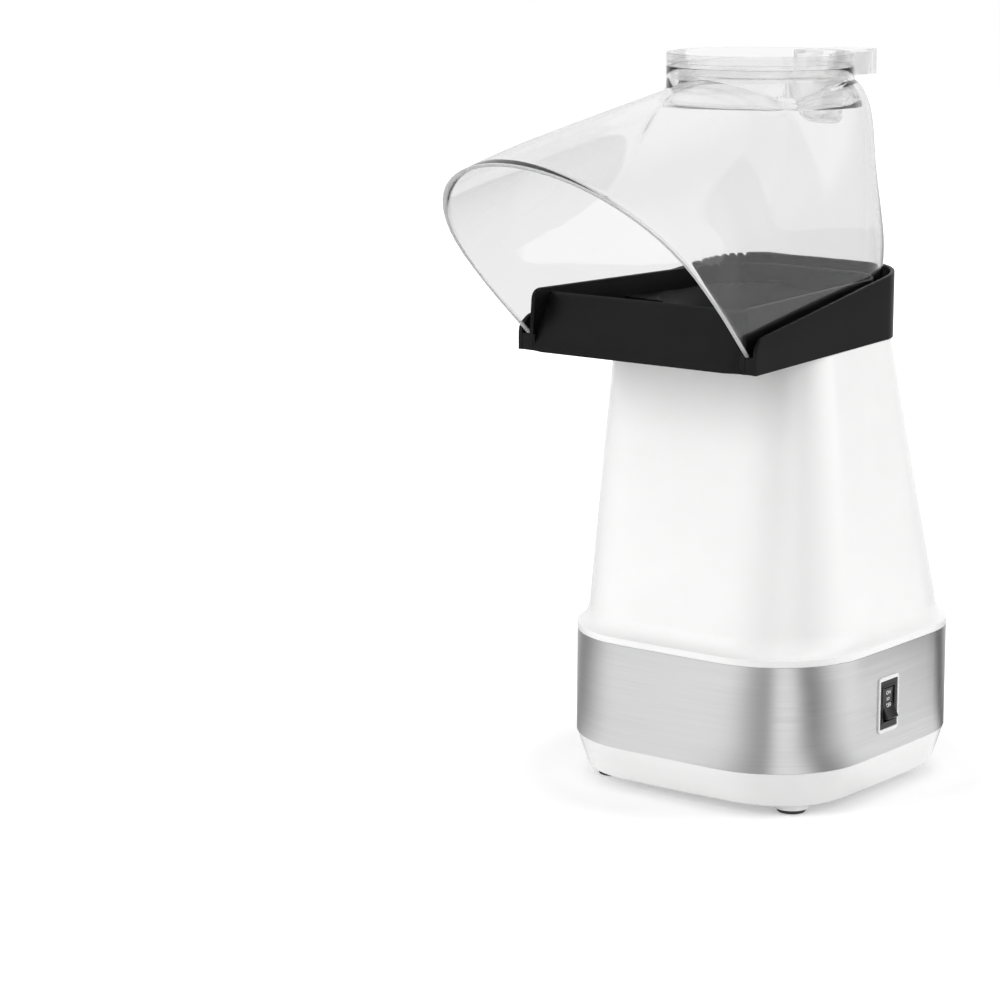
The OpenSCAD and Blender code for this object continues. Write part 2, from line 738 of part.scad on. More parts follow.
module chute_tray() {
    y0 = -tray_front_y;
    y1 = y0 + ramp_run;
    t = tray_wall;
    wall_in = inner_wall_in + t;
    shell_front = shell_top_y + shell_top_d;
    under_y = y0 + ramp_run * 0.67;
    spigot_front = shell_front - shell_wall - fit_gap - t - axis_y;
    notch_w = 3 + sqrt(max(pow(flange_edge_r + run_gap, 2) - pow(spigot_front, 2), 0));
    color("#1c1c1e") difference() {
        union() {
            // outer wall and groove floor
            difference() {
                tray_prism(0, shell_top_z, inner_top_z + 10);
                tray_prism(t, groove_floor_z, inner_top_z + 11, -1);
                tray_prism(t, shell_top_z - 1, plate_low_z, t);
                above_outer_wall();
                intersection() {
                    inner_prism(inner_wall_in + t / 2, shell_top_z - 1, inner_top_z, -1);
                    across_x([[y0 - 1, shell_top_z - 1], [y0, shell_top_z - 1],
                        [y0 + 0.4, shell_top_z], [y1, ramp_top_z], [y0 - 1, ramp_top_z]], far);
                }
            }
            // inner wall
            difference() {
                inner_prism(inner_wall_in, shell_top_z, inner_top_z);
                inner_prism(wall_in, shell_top_z - 1, inner_top_z + 1, -1);
                translate([0, far / 2 - shell_front - 1, shell_top_z - 1])
                    block([far, far, plate_low_z + t / 2 - shell_top_z + 1]);
            }
            // ramp and sloping chute floor
            intersection() {
                inner_prism(inner_wall_in + t / 2, shell_top_z, inner_top_z);
                across_x([[y0, shell_top_z], [y1, ramp_top_z], [chute_lip_y, groove_floor_z],
                    [chute_lip_y + 3, groove_floor_z - 1.2], [chute_lip_y + 3, plate_low_z + 0.4],
                    [chute_lip_y - 2, plate_low_z + 0.4], [y1 + t / 2, ramp_top_z - t * 1.6],
                    [y0 + t * 1.1, shell_top_z]], far);
            }
            // funnel around the chamber's mouth
            difference() {
                inner_prism(inner_wall_in + t / 2, plate_low_z, plate_low_z + funnel_h);
                translate([0, chute_lip_y - far / 2, plate_low_z - 1]) block([far, far, far]);
                funnel_void();
            }
            // locating spigot inside the shell's top edge, with a notch where the flanges come close
            difference() {
                translate([0, 0, shell_top_z - spigot_h]) linear_extrude(spigot_h + groove_z - 1)
                    difference() {
                        polygon(tower_outline(shell_top_z, shell_wall + fit_gap));
                        polygon(tower_outline(shell_top_z, shell_wall + fit_gap + t));
                    }
                translate([0, -shell_front, shell_top_z - spigot_h - 1])
                    block([2 * notch_w, 4 * t + shell_wall, plate_low_z - shell_top_z + spigot_h + 1]);
            }
        }
        // mouth of the popping chamber
        translate([0, air_y, 0])
            cylinder(r = chamber_r, h = plate_low_z + funnel_h, $fn = 96);
        // the underside is cored out in front of the shell and round the funnel
        translate([0, -(shell_front + 9 - under_y) / 2, shell_top_z - 1])
            block([tray_mid_x * 1.5, -under_y - shell_front - 9, groove_z + 1.5]);
        difference() {
            inner_prism(wall_in, shell_top_z - 1, plate_low_z + funnel_h - t);
            translate([0, chute_lip_y + t - far / 2, 0]) block([far, far, far]);
            translate([0, air_y, 0]) cylinder(r = flange_edge_r + 2, h = far, $fn = 96);
        }
        translate([0, air_y, plate_low_z - 1]) around(flange_screws, 45)
            translate([flange_screw_r, 0, 0]) cylinder(r = m3_r, h = m3_bite + 1, $fn = 32);
    }
}

// ---- Popping chamber and gasket ----

// Meridian of the chamber's outside, or of its inside when it is drawn in by t
function chamber_profile(t) =
    let (r = chamber_r + chamber_t - t, z = chamber_low_z + t, c = 7 - t)
    concat([[0, z + 5], [14, z + 5], [24, z]],
        [for (i = [0:6]) [r - c, z + c] + polar(c, -90 + 15 * i)]);

module popping_chamber() {
    color("#c9cacc") difference() {
        rotate_about_air() polygon(concat(chamber_profile(0),
            [[chamber_r + chamber_t, chamber_flange_z], [flange_edge_r, chamber_flange_z],
                [flange_edge_r, gasket_low_z], [0, gasket_low_z]]));
        rotate_about_air() polygon(concat(chamber_profile(chamber_t),
            [[chamber_r, gasket_low_z + 1], [0, gasket_low_z + 1]]));
        translate([0, air_y, chamber_low_z + 16]) around(slot_count)
            translate([chamber_r + chamber_t / 2, 0, 0]) rotate([32, 0, 0])
                cube([4, 1.7, 13], center = true);
        flange_holes(m3_r + fit_gap);
    }
}

module rotate_about_air() {
    translate([0, air_y, 0]) rotate_extrude($fn = 96) children();
}

module flange_holes(r) {
    translate([0, air_y, shell_top_z - 1]) around(flange_screws, 45)
        translate([flange_screw_r, 0, 0]) cylinder(r = r, h = far, $fn = 32);
}

module chamber_gasket() {
    color("#b5452f") difference() {
        translate([0, air_y, gasket_low_z]) tube(flange_edge_r, chamber_r, gasket_t);
        flange_holes(m3_r + fit_gap);
    }
}

module chamber_screws() {
    color("silver") translate([0, air_y, duct_flange_z]) around(flange_screws, 45)
        translate([flange_screw_r, 0, 0])
            cap_screw(m3_r, plate_low_z - duct_flange_z + m3_bite - fit_gap, m3_head_r, m3_head_h);
}

// ---- Air duct and what is fixed to it ----

module air_duct() {
    color("silver") difference() {
        union() {
            translate([0, air_y, ledge_z])
                tube(duct_r + duct_t, duct_r, chamber_flange_z - ledge_z);
            translate([0, air_y, duct_flange_z]) tube(flange_edge_r, duct_r, duct_t);
        }
        flange_holes(m3_r + fit_gap);
        for (z = [coil_low_z, coil_top_z]) radial(coil_angle, z)
            cylinder(r = bush_r + bush_gap, h = far, $fn = 32);
    }
}

// Moves to height z and turns +Z outwards along the given direction
module radial(angle, z) {
    translate([0, air_y, z]) rotate([0, 0, angle]) rotate([0, 90, 0]) children();
}

// Shapes a part's inner side to the duct's round outside
module on_duct() {
    difference() {
        children();
        translate([0, air_y, 0]) cylinder(r = duct_r + duct_t, h = far, $fn = 96);
    }
}

module heater_frame() {
    color("#d8cfae") translate([0, air_y, board_low_z]) difference() {
        union() {
            block([2 * board_reach, board_t, board_h]);
            block([board_t, 2 * board_reach, board_h]);
        }
        for (angle = [0:90:270]) rotate([0, 0, angle]) {
            for (i = [0:coil_turns - 1]) translate([coil_r, -board_t, coil_rise(angle, i)])
                rotate([-90, 0, 0]) cylinder(r = coil_d / 2 + fit_gap, h = 2 * board_t, $fn = 32);
            translate([coil_r / 2 - 6, -board_t, board_h / 2 - 7]) cube([13, 2 * board_t, 14]);
        }
    }
}

// Height over the boards' foot at which turn i of the coil passes a given direction
function coil_rise(angle, i) =
    coil_low_z - board_low_z + coil_pitch * (i + ((angle - coil_angle + 360) % 360) / 360);

module heater_coil() {
    steps = 20 * coil_turns;
    inner_tip = duct_r - 3.4;
    helix = [for (i = [0:steps]) let (a = coil_angle + 360 * coil_turns * i / steps)
        [coil_r * cos(a), air_y + coil_r * sin(a), lerp(coil_low_z, coil_top_z, i / steps)]];
    function lead(z) = [for (r = [inner_tip, coil_r + coil_d])
        [r * cos(coil_angle), air_y + r * sin(coil_angle), z]];
    low = lead(coil_low_z);
    high = lead(coil_top_z);
    color("#8c8478") strand(concat(low, helix, [high[1], high[0]]), coil_d / 2, 10);
}

module heater_terminals() {
    color("ivory") for (z = [coil_low_z, coil_top_z]) on_bush(z) {
        radial(coil_angle, z) translate([0, 0, duct_r + duct_t - 1])
            cylinder(r = bush_flange_r, h = 3.5, $fn = 48);
        radial(coil_angle, z) translate([0, 0, duct_r - 2])
            cylinder(r = bush_r, h = 5, $fn = 32);
        radial(coil_angle, z) translate([0, 0, duct_r - 3.4])
            cylinder(r = pin_r, h = pin_reach - duct_r + 3.4, $fn = 32);
    }
}

// Joins a bush, its flange and its pin, with the flange shaped to the duct
module on_bush(z) {
    on_duct() children(0);
    children(1);
    children(2);
}

module thermostat() {
    can_h = 7.5;
    blade_l = 7;
    root = 0.5;
    color("#3a3a3c") {
        on_duct() radial(thermostat_angle, thermostat_z) translate([0, 0, duct_r])
            cylinder(d = 16, h = can_h, $fn = 64);
        radial(thermostat_angle, thermostat_z) translate([0, 0, duct_r + can_h - root])
            for (side = [-1, 1]) translate([0, side * 4.5, 0]) block([5, 0.8, blade_l + root]);
    }
}

module thermal_fuse() {
    color("#d9d4c4") {
        on_duct() translate([0, air_y, fuse_z - fuse_h / 2]) rotate([0, 0, fuse_angle])
            translate([duct_r + duct_t + 1.6, 0, 0]) cylinder(r = 2.2, h = fuse_h, $fn = 32);
        on_duct() translate([0, air_y, fuse_z - 2]) rotate([0, 0, fuse_angle])
            translate([duct_r, -6, 0]) cube([duct_t + 1.6, 12, 4]);
    }
}

// ---- Fan housing and motor ----

module fan_housing() {
    color("#4a4a4c") translate([0, air_y, 0]) difference() {
        union() {
            rotate_extrude($fn = 96) polygon([[hub_hole_r, fan_floor_z],
                [fan_outer_r, fan_floor_z], [fan_outer_r, fan_top_z],
                [duct_r + duct_t + fit_gap, fan_top_z], [duct_r + duct_t + fit_gap, ledge_z],
                [fan_inner_r, ledge_z], [fan_inner_r, fan_floor_z + fan_floor_t],
                [hub_hole_r, fan_floor_z + fan_floor_t]]);
            around(4) translate([board_reach - 6, -2.5, ledge_z - 3]) cube([7.5, 5, 3]);
        }
        around(inlet_count) translate([inlet_in_r, -3.5, fan_floor_z - 1])
            cube([inlet_out_r - inlet_in_r, 7, fan_floor_t + 2]);
        for (angle = grommet_angles) rotate([0, 0, angle])
            translate([grommet_ring_r, 0, fan_floor_z - 1])
                cylinder(r = grommet_pin_r, h = fan_floor_t + 2, $fn = 32);
        translate([0, 0, fan_floor_z - 1]) around(motor_screw_count)
            translate([motor_screw_ring_r, 0, 0]) cylinder(r = m3_r + fit_gap, h = 4, $fn = 32);
    }
}

module motor_grommets() {
    color("#28282a") translate([0, air_y, 0]) for (angle = grommet_angles) rotate([0, 0, angle])
        translate([grommet_ring_r, 0, post_top_z - grommet_pin_h]) {
            cylinder(r = grommet_pin_r, h = grommet_h + grommet_pin_h + fan_floor_t, $fn = 32);
            translate([0, 0, grommet_pin_h]) cylinder(r = grommet_r, h = grommet_h, $fn = 48);
        }
}

module motor_bracket() {
    color("silver") translate([0, air_y, motor_top_z]) difference() {
        tube(bracket_r, hub_hole_r, bracket_t);
        translate([0, 0, -1]) around(motor_screw_count)
            translate([motor_screw_ring_r, 0, 0]) cylinder(r = m3_r + fit_gap, h = 4, $fn = 32);
    }
}

module motor_can() {
    color("#a9abad") translate([0, air_y, 0]) difference() {
        rotate_extrude($fn = 96) polygon([[bearing_r, motor_top_z], [motor_r, motor_top_z],
            [motor_r, motor_low_z], [motor_r - can_t, motor_low_z],
            [motor_r - can_t, motor_top_z - can_t], [bearing_r + can_t, motor_top_z - can_t],
            [bearing_r + can_t, motor_top_z - bearing_h], [bearing_r, motor_top_z - bearing_h]]);
        translate([0, 0, motor_top_z - can_t - 1]) around(motor_screw_count)
            translate([motor_screw_ring_r, 0, 0]) cylinder(r = m3_r, h = can_t + 2, $fn = 32);
    }
}

module motor_end_cap() {
    color("#2b2b2d") translate([0, air_y, 0]) {
        rotate_extrude($fn = 96) polygon([[bearing_r, cap_low_z - bearing_h + 1],
            [bearing_r + 2, cap_low_z - bearing_h + 1], [bearing_r + 2, cap_low_z],
            [motor_r, cap_low_z], [motor_r, motor_low_z], [bearing_r, motor_low_z]]);
        for (side = [0, 180]) rotate([0, 0, side]) difference() {
            translate([brush_in_r + 3, -4, motor_low_z]) cube([6, 8, commutator_h + 3]);
            translate([brush_in_r, -brush_w / 2, commutator_z + 1]) cube([12, brush_w, 4]);
        }
    }
}

module motor_magnets() {
    color("#55565a") translate([0, air_y, magnet_z]) difference() {
        tube(motor_r - can_t, motor_r - can_t - magnet_t, magnet_h);
        translate([0, 0, -1]) block([motor_r * 0.9, motor_r * 2, magnet_h + 2]);
    }
}

module motor_bearings() {
    color("#b08d57") translate([0, air_y, 0]) {
        translate([0, 0, motor_top_z - bearing_h]) tube(bearing_r, bore_r, bearing_h);
        translate([0, 0, cap_low_z - bearing_h + 1]) tube(bearing_r, bore_r, bearing_h);
    }
}

module motor_brushes() {
    color("#3b3b3b") translate([0, air_y, commutator_z + 1]) for (side = [0, 180])
        rotate([0, 0, side]) translate([brush_in_r, -brush_w / 2, 0])
            cube([brush_l, brush_w, 4]);
}

module motor_screws() {
    color("silver") translate([0, air_y, fan_floor_z + fan_floor_t]) around(motor_screw_count)
        translate([motor_screw_ring_r, 0, 0]) rotate([180, 0, 0])
            cap_screw(m3_r, fan_floor_t + bracket_t + can_t, m3_head_r, m3_head_h);
}

module motor_shaft() {
    color("silver") translate([0, air_y, shaft_low_z])
        cylinder(r = shaft_r, h = shaft_top_z - shaft_low_z, $fn = 48);
}

module armature_core() {
    shoe_in = core_r - shoe_t;
    color("#7d7f83") translate([0, air_y, core_z]) difference() {
        union() {
            cylinder(r = hub_r, h = core_h, $fn = 64);
            tube(core_r, shoe_in, core_h);
            around(poles) translate([hub_r / 2, -arm_w / 2, 0])
                cube([shoe_in + 1 - hub_r / 2, arm_w, core_h]);
        }
        translate([0, 0, -1]) cylinder(r = shaft_r, h = core_h + 2, $fn = 48);
        around(poles, 180 / poles) translate([shoe_in - 1, -slot_gap / 2, -1])
            cube([shoe_t + 2, slot_gap, core_h + 2]);
    }
}

module armature_winding() {
    half_w = arm_w / 2 + wire_t;
    coil_in = hub_r + 0.7;
    coil_out = sqrt(pow(core_r - shoe_t, 2) - pow(half_w, 2)) - 0.2;
    color("#b5652b") translate([0, air_y, core_z - coil_end]) around(poles) difference() {
        translate([coil_in, -half_w, 0])
            cube([coil_out - coil_in, 2 * half_w, core_h + 2 * coil_end]);
        translate([0, -arm_w / 2, coil_end]) cube([core_r, arm_w, core_h]);
    }
}

module commutator() {
    color("#c07a3e") translate([0, air_y, commutator_z]) difference() {
        tube(commutator_r, shaft_r, commutator_h);
        around(2 * poles) translate([commutator_r - 0.8, -0.3, -1]) cube([2, 0.6, commutator_h + 2]);
    }
}

module fan_impeller() {
    reach = impeller_r - 0.8;
    blade_l = sqrt(pow(reach, 2) - pow(blade_in_r * sin(blade_sweep), 2))
        - blade_in_r * cos(blade_sweep);
    color("#5a5c60") translate([0, air_y, 0]) difference() {
        union() {
            translate([0, 0, blade_z]) cylinder(r = impeller_hub_r, h = fan_blade_h + plate_t, $fn = 64);
            translate([0, 0, blade_top_z]) cylinder(r = impeller_r, h = plate_t, $fn = 96);
            translate([0, 0, blade_z]) around(blade_count) translate([blade_in_r, 0, 0])
                rotate([0, 0, blade_sweep]) translate([0, -blade_t / 2, 0])
                    cube([blade_l, blade_t, fan_blade_h + plate_t / 2]);
        }
        translate([0, 0, blade_z - 1]) cylinder(r = shaft_r, h = far, $fn = 48);
    }
}

module impeller_nut() {
    color("silver") translate([0, air_y, blade_top_z + plate_t]) difference() {
        cylinder(r = nut_r, h = nut_h, $fn = 6);
        translate([0, 0, -1]) cylinder(r = shaft_r, h = nut_h + 2, $fn = 48);
    }
}

// ---- Switch ----

// A slab on the switch side, centred on the switch: it reaches from x0 to x1
module switch_slab(x0, x1, w, h) {
    translate([x0, switch_y - w / 2, switch_z - h / 2]) cube([x1 - x0, w, h]);
}

// Shapes a part's inner side to the band's bowed outside
module on_band() {
    difference() {
        children();
        translate([0, 0, band_z]) linear_extrude(band_h) polygon(band_outline(0, 0));
    }
}

module switch_bezel() {
    r = 2.6;
    color("#d4d4d2") on_band() difference() {
        translate([face_x - 1, switch_y, switch_z]) rotate([90, 0, 90])
            linear_extrude(bezel_t + 1) hull() for (sx = [-1, 1], sy = [-1, 1])
                translate([sx * (bezel_w / 2 - r), sy * (bezel_h / 2 - r)]) circle(r = r, $fn = 32);
        switch_slab(face_x - 2, face_x + bezel_lip_t, throat_w + 2 * fit_gap, throat_h + 2 * fit_gap);
        switch_slab(face_x + bezel_lip_t, face_x + far, panel_w + fit_gap, panel_h + fit_gap);
    }
}

module switch_body() {
    sweep = sqrt(pow(rocker_l / 2, 2) + pow(rocker_out, 2)) + fit_gap;
    color("#151517") difference() {
        union() {
            switch_slab(face_x + bezel_lip_t, panel_x, panel_w, panel_h);
            switch_slab(face_x - body_depth, face_x + bezel_lip_t, throat_w, throat_h);
        }
        switch_slab(rocker_x - 5, panel_x + 1, rocker_w + 2 * fit_gap, 2 * sweep);
        translate([rocker_x, switch_y, switch_z]) rotate([90, 0, 0])
            cylinder(r = pivot_r + shaft_gap, h = rocker_w + 2 * pivot_l + 2 * fit_gap,
                center = true, $fn = 48);
    }
}

module switch_rocker() {
    h = rocker_l / 2;
    color("#0e0e10") translate([rocker_x, switch_y, switch_z]) rotate([0, -rocker_swing / 2, 0]) {
        translate([0, rocker_w / 2, 0]) rotate([90, 0, 0]) linear_extrude(rocker_w)
            polygon([[rocker_out, h], [rocker_dip, 0], [rocker_out, -h], [-0.5, -h + 0.4],
                [-3, -3], [-3, 3], [-0.5, h - 0.4]]);
        rotate([90, 0, 0]) cylinder(r = pivot_r, h = rocker_w + 2 * pivot_l, center = true, $fn = 48);
    }
}

module switch_terminals() {
    color("#c8a15a") for (level = [-1, 0, 1])
        translate([face_x - body_depth - tab_reach, switch_y - 3.15, switch_z + 8 * level - 0.4])
            cube([tab_reach, 6.3, 0.8]);
}

// ---- Electrics ----

module rectifier_board() {
    color("#2f6b3c") translate([0, board_centre_y, board_z])
        block([board_x, board_y, board_sheet_t]);
}

module rectifier_diodes() {
    leg_r = 0.6;
    base_z = board_z + board_sheet_t;
    color("#1d1d20") translate([0, board_centre_y, base_z]) for (y = diode_y) {
        translate([-diode_l / 2, y, diode_r]) rotate([0, 90, 0])
            cylinder(r = diode_r - 0.3, h = diode_l, $fn = 32);
        translate([-diode_l / 2 - 3, y, diode_r]) rotate([0, 90, 0])
            cylinder(r = leg_r, h = diode_l + 6, $fn = 24);
        for (side = [-1, 1]) translate([side * (diode_l / 2 + 3), y, 0])
            cylinder(r = leg_r, h = diode_r + leg_r, $fn = 24);
    }
}

module cord_gland() {
    color("#202022") difference() {
        translate([0, gland_face_y, gland_z]) rotate([-90, 0, 0]) {
            cylinder(r = gland_flange_r, h = gland_flange_t, $fn = 64);
            translate([0, 0, -gland_l]) cylinder(r = gland_r, h = gland_l + 1, $fn = 64);
        }
        translate([0, far / 2, gland_z]) rotate([90, 0, 0])
            cylinder(r = gland_bore_r, h = far, $fn = 48);
    }
}

// A smooth path that leaves point a towards b and reaches point d from c
function bend(a, b, c, d, steps = 14) = [for (i = [0:steps]) let (t = i / steps, u = 1 - t)
    u * u * u * a + 3 * u * u * t * b + 3 * u * t * t * c + t * t * t * d];

module lead_wires() {
    tab_x = face_x - body_depth - tab_reach - lead_r;
    gland_y = gland_face_y - gland_l - 1;
    board_top = board_z + board_sheet_t + lead_r + 0.2;
    beside = duct_r + 22;
    low_tab = [tab_x, switch_y, switch_z - 8];
    mid_tab = [tab_x, switch_y, switch_z];
    high_tab = [tab_x, switch_y + 3, switch_z + 8];
    left_pad = [-board_post_x - 2, board_centre_y, board_top];
    right_pad = [board_post_x + 2, board_centre_y, board_top];
    pin_low = [pin_reach * cos(coil_angle), air_y + pin_reach * sin(coil_angle), coil_low_z];
    pin_high = [pin_low[0], pin_low[1], coil_top_z];
    stat = [0, air_y, thermostat_z] + [for (p = polar(duct_r + 16, thermostat_angle)) p, 0];
    fuse = [0, air_y, fuse_z - fuse_h / 2 - lead_r - 0.2]
        + [for (p = polar(duct_r + 2.4, fuse_angle)) p, 0];
    color("#d8d8d8") {
        strand(bend([2, gland_y, gland_z + 1], [10, beside * 0.8, gland_z + 3],
            [beside * 0.9, beside * 0.6, low_tab[2] - 20], low_tab), lead_r);
        strand(bend([-2, gland_y, gland_z + 1], [-beside * 0.9, beside, gland_z + 3],
            [-beside * 1.1, -beside * 0.9, board_z + 12], left_pad), lead_r);
        strand(bend(mid_tab, [tab_x - 7, 12, switch_z + 2], [beside + 2, 50, thermostat_z - 30], stat),
            lead_r);
        strand(bend(stat + [0, 0, 4], [beside * 0.72, beside * 0.8, fuse_z - 15],
            [-20, beside * 0.95, fuse_z - 25], fuse), lead_r);
        strand(bend(fuse + [-3, 0, -1], [-beside, 20, fuse_z - 60], [-beside * 0.93, -50, board_z + 30],
            left_pad + [0, 5, 0]), lead_r);
        strand(bend(pin_high + [1, 1, 3], [beside, 10, coil_top_z + 30], [beside, -20, switch_z + 32],
            high_tab), lead_r);
        strand(bend(pin_low + [1, -1, -3], [beside - 2, -20, coil_low_z - 26],
            [beside * 0.66, -70, board_z + 30], right_pad), lead_r);
    }
}

module base_screws() {
    color("silver") corners(post_x, post_y) translate([0, 0, screw_seat_z])
        cap_screw(base_screw_r, boss_top_z + screw_bite - 1 - screw_seat_z,
            base_screw_head_r, base_screw_head_h);
}

// ---- Hood ----

// Below zero inside the hood's surface drawn in by t, above zero outside it
function hood_side(x, y, z, t) =
    let (
        s = smooth((y - blend_front_y) / (blend_rear_y - blend_front_y)),
        k = smooth((z - side_blend_z) / side_blend_h),
        q = lerp(low_square, high_square, smooth((z - side_blend_z) / square_h)),
        low_w = hood_low_x - tray_flare * y,
        mid_w = lerp(visor_x, hood_mid_x, clamp01((y + visor_reach) / visor_reach)),
        w = lerp(low_w, mid_w, k) - t,
        rear = lerp(hood_rear_y, hood_top_rear_y, k) - t,
        droop = crown_droop * pow(clamp01((-y - droop_y) / droop_run), 2),
        vault_z = crown_z + crown_fall * y - droop,
        top = lerp(vault_z, shoulder_z, s) - t,
        foot = lerp(vault_z - vault_r, groove_floor_z, s),
        n = lerp(2, rear_shoulder, s),
        across = abs(x) / w,
        along = clamp01((y - air_y) / (rear - air_y)),
        plan = pow(pow(across, q) + pow(along, q), 1 / q),
        up = max(z - foot, 0) / (top - foot)
    )
    pow(plan, n) + pow(up, n) - 1;

// The place between a and b at which the hood's surface is crossed
function crossing(a, b, t, i = bisections) =
    let (m = (a + b) / 2)
    i == 0 ? m : hood_side(m[0], m[1], m[2], t) < 0 ? crossing(m, b, t, i - 1) : crossing(a, m, t, i - 1);

function mouth_at(z) = -mouth_y - mouth_lean * (z - groove_floor_z);

// A point of the plane above the direction d where it meets the mouth's slope
function on_mouth(d, z) = let (y = mouth_at(z)) [d[0] * (y - air_y) / d[1], y, z];

// Lowest point of the column in direction d: on the mouth's slope or on the groove floor
function column_foot(d, in_mouth, t) = in_mouth
    ? crossing(on_mouth(d, groove_floor_z - 20), on_mouth(d, crown_z + 10), t)
    : crossing([0, air_y, groove_floor_z],
        [far * d[0], air_y + far * d[1], groove_floor_z], t);

function column_head(d, t) =
    let (x = roof_hole_r * d[0], y = air_y + roof_hole_r * d[1])
    crossing([x, y, hood_eye_z], [x, y, shoulder_z + 30], t);

function ease(f) = f * (1.5 - 0.5 * f);

function column(a, in_mouth, t) =
    let (
        d = [cos(a), sin(a)],
        eye = [0, air_y, hood_eye_z],
        foot = column_foot(d, in_mouth, t),
        head = column_head(d, t)
    )
    [for (i = [0:hood_rows])
        i == 0 ? foot : i == hood_rows ? head
            : let (aim = lerp(foot, head, ease(i / hood_rows)) - eye)
                crossing(eye, eye + aim * 3, t)];

function hood_grid(t) =
    let (
        corner_w = hood_low_x + tray_flare * mouth_y - t,
        a0 = atan2(-(mouth_y - axis_y), corner_w),
        mouth = [for (j = [0:mouth_cols]) lerp(-180 - a0, a0, j / mouth_cols)],
        rest = [for (j = [1:rest_cols - 1]) lerp(a0, 180 - a0, j / rest_cols)],
        cols = concat([for (a = mouth) column(a, true, t)], [for (a = rest) column(a, false, t)])
    )
    [for (i = [0:hood_rows]) [for (c = cols) c[i]]];

module hood() {
    color("#dfe6ea", 0.4) difference() {
        union() {
            skin(hood_grid(0), hood_grid(hood_wall));
            translate([0, air_y, neck_low_z]) tube(neck_r, neck_r - neck_wall, neck_top_z - neck_low_z);
        }
        translate([0, air_y, neck_low_z - 30])
            cylinder(r = neck_r - neck_wall, h = far, $fn = 96);
    }
}

// ---- Measuring cup ----

// The half space beyond the pocket's slanting flat side and above its sloping floor, moved in by t
module pocket_side(t) {
    foot_x = pocket_chord + pocket_lean;
    foot_z = pocket_low_z + pocket_slope * (pocket_r - foot_x);
    rotate([0, 0, pocket_angle]) translate([0, far / 2, 0]) rotate([90, 0, 0])
        linear_extrude(far) polygon([[pocket_chord + t, dish_low_z + 10],
            [pocket_chord + t, dish_low_z], [foot_x + t, foot_z + t],
            [pocket_r, pocket_low_z + t], [far, pocket_low_z + t], [far, dish_low_z + 10]]);
}

module pocket(t) {
    translate([0, air_y, 0]) intersection() {
        translate([0, 0, pocket_low_z + t])
            cylinder(r = pocket_r - t, h = dish_low_z - pocket_low_z + cup_wall, $fn = 96);
        pocket_side(t);
    }
}

// Meridian of the dish, drawn in by t
function dish_profile(t, top_z) =
    let (r = plug_r - t, c = dish_corner - t / 2, z = dish_low_z + t)
    concat([[0, z]], [for (i = [0:6]) [r - c, z + c] + polar(c, -90 + 15 * i)],
        [[r, neck_top_z]],
        [[neck_r - t, neck_top_z + (t > 0 ? t : 0)], [neck_r - t, top_z], [0, top_z]]);

module measuring_cup() {
    color("#e4eaee", 0.4) difference() {
        union() {
            rotate_about_air() polygon(dish_profile(0, rim_z));
            pocket(0);
            tab();
        }
        rotate_about_air() polygon(dish_profile(cup_wall, rim_z + 1));
        pocket(cup_wall);
    }
}

// The handle: a trough that is open below and hooks over the neck's edge
module tab() {
    root_y = sqrt(pow(neck_r - cup_wall, 2) - pow(tab_w / 2, 2)) + 0.4;
    tip_y = neck_r + tab_l;
    translate([0, air_y, 0]) rotate([0, 0, tab_angle]) difference() {
        translate([-tab_w / 2, root_y, tab_low_z]) cube([tab_w, tip_y - root_y, tab_h]);
        translate([-tab_w / 2 + tab_t, 0, tab_low_z - 1])
            cube([tab_w - 2 * tab_t, tip_y - tab_t, tab_h + 1 - tab_t]);
        translate([0, 0, tab_low_z - 1])
            cylinder(r = neck_r + run_gap, h = neck_top_z - tab_low_z + 1, $fn = 96);
    }
}

base_pan();
foot_pads();
steel_band();
body_shell();
chute_tray();
switch_bezel();
switch_body();
switch_terminals();
popping_chamber();
chamber_gasket();
air_duct();
heater_frame();
heater_coil();
heater_terminals();
thermostat();
thermal_fuse();
fan_housing();
motor_grommets();
motor_bracket();
motor_can();
motor_end_cap();
motor_magnets();
motor_bearings();
motor_brushes();
rectifier_board();
rectifier_diodes();
cord_gland();
lead_wires();
base_screws();
chamber_screws();
motor_screws();
motor_shaft();
armature_core();
armature_winding();
commutator();
fan_impeller();
impeller_nut();
switch_rocker();
hood();
measuring_cup();
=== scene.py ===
"""Looks of the hot air popcorn maker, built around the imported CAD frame.

Shapes are drawn in millimetres, with +Z up, the chute towards -Y and the switch towards +X. Matrices, lights
and the camera are in metres.
"""

import json
import math

import bmesh
import bpy
from mathutils import Matrix, Vector


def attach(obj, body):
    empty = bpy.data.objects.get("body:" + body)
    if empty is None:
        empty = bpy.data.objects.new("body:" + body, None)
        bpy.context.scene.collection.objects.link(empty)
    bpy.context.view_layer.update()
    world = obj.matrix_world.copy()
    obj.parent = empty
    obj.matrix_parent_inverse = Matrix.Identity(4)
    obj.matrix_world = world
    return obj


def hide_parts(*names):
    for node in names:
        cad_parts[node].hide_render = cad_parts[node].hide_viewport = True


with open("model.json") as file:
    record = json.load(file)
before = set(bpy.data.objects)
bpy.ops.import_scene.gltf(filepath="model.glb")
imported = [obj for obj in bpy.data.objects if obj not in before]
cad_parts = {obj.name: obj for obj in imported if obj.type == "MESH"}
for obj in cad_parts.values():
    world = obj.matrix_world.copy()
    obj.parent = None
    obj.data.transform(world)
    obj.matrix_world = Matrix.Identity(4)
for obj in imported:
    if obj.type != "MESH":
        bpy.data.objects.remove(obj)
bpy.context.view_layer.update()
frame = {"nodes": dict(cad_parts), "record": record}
MM = 0.001
AIR_Y = -12.0  # the axis of chamber, hood neck and cup
AIR_AXIS = (0.0, AIR_Y)
ORIGIN = (0.0, 0.0)
QUADRANTS = [(sx, sy) for sx in (-1, 1) for sy in (-1, 1)]

# -------------------------- helpers


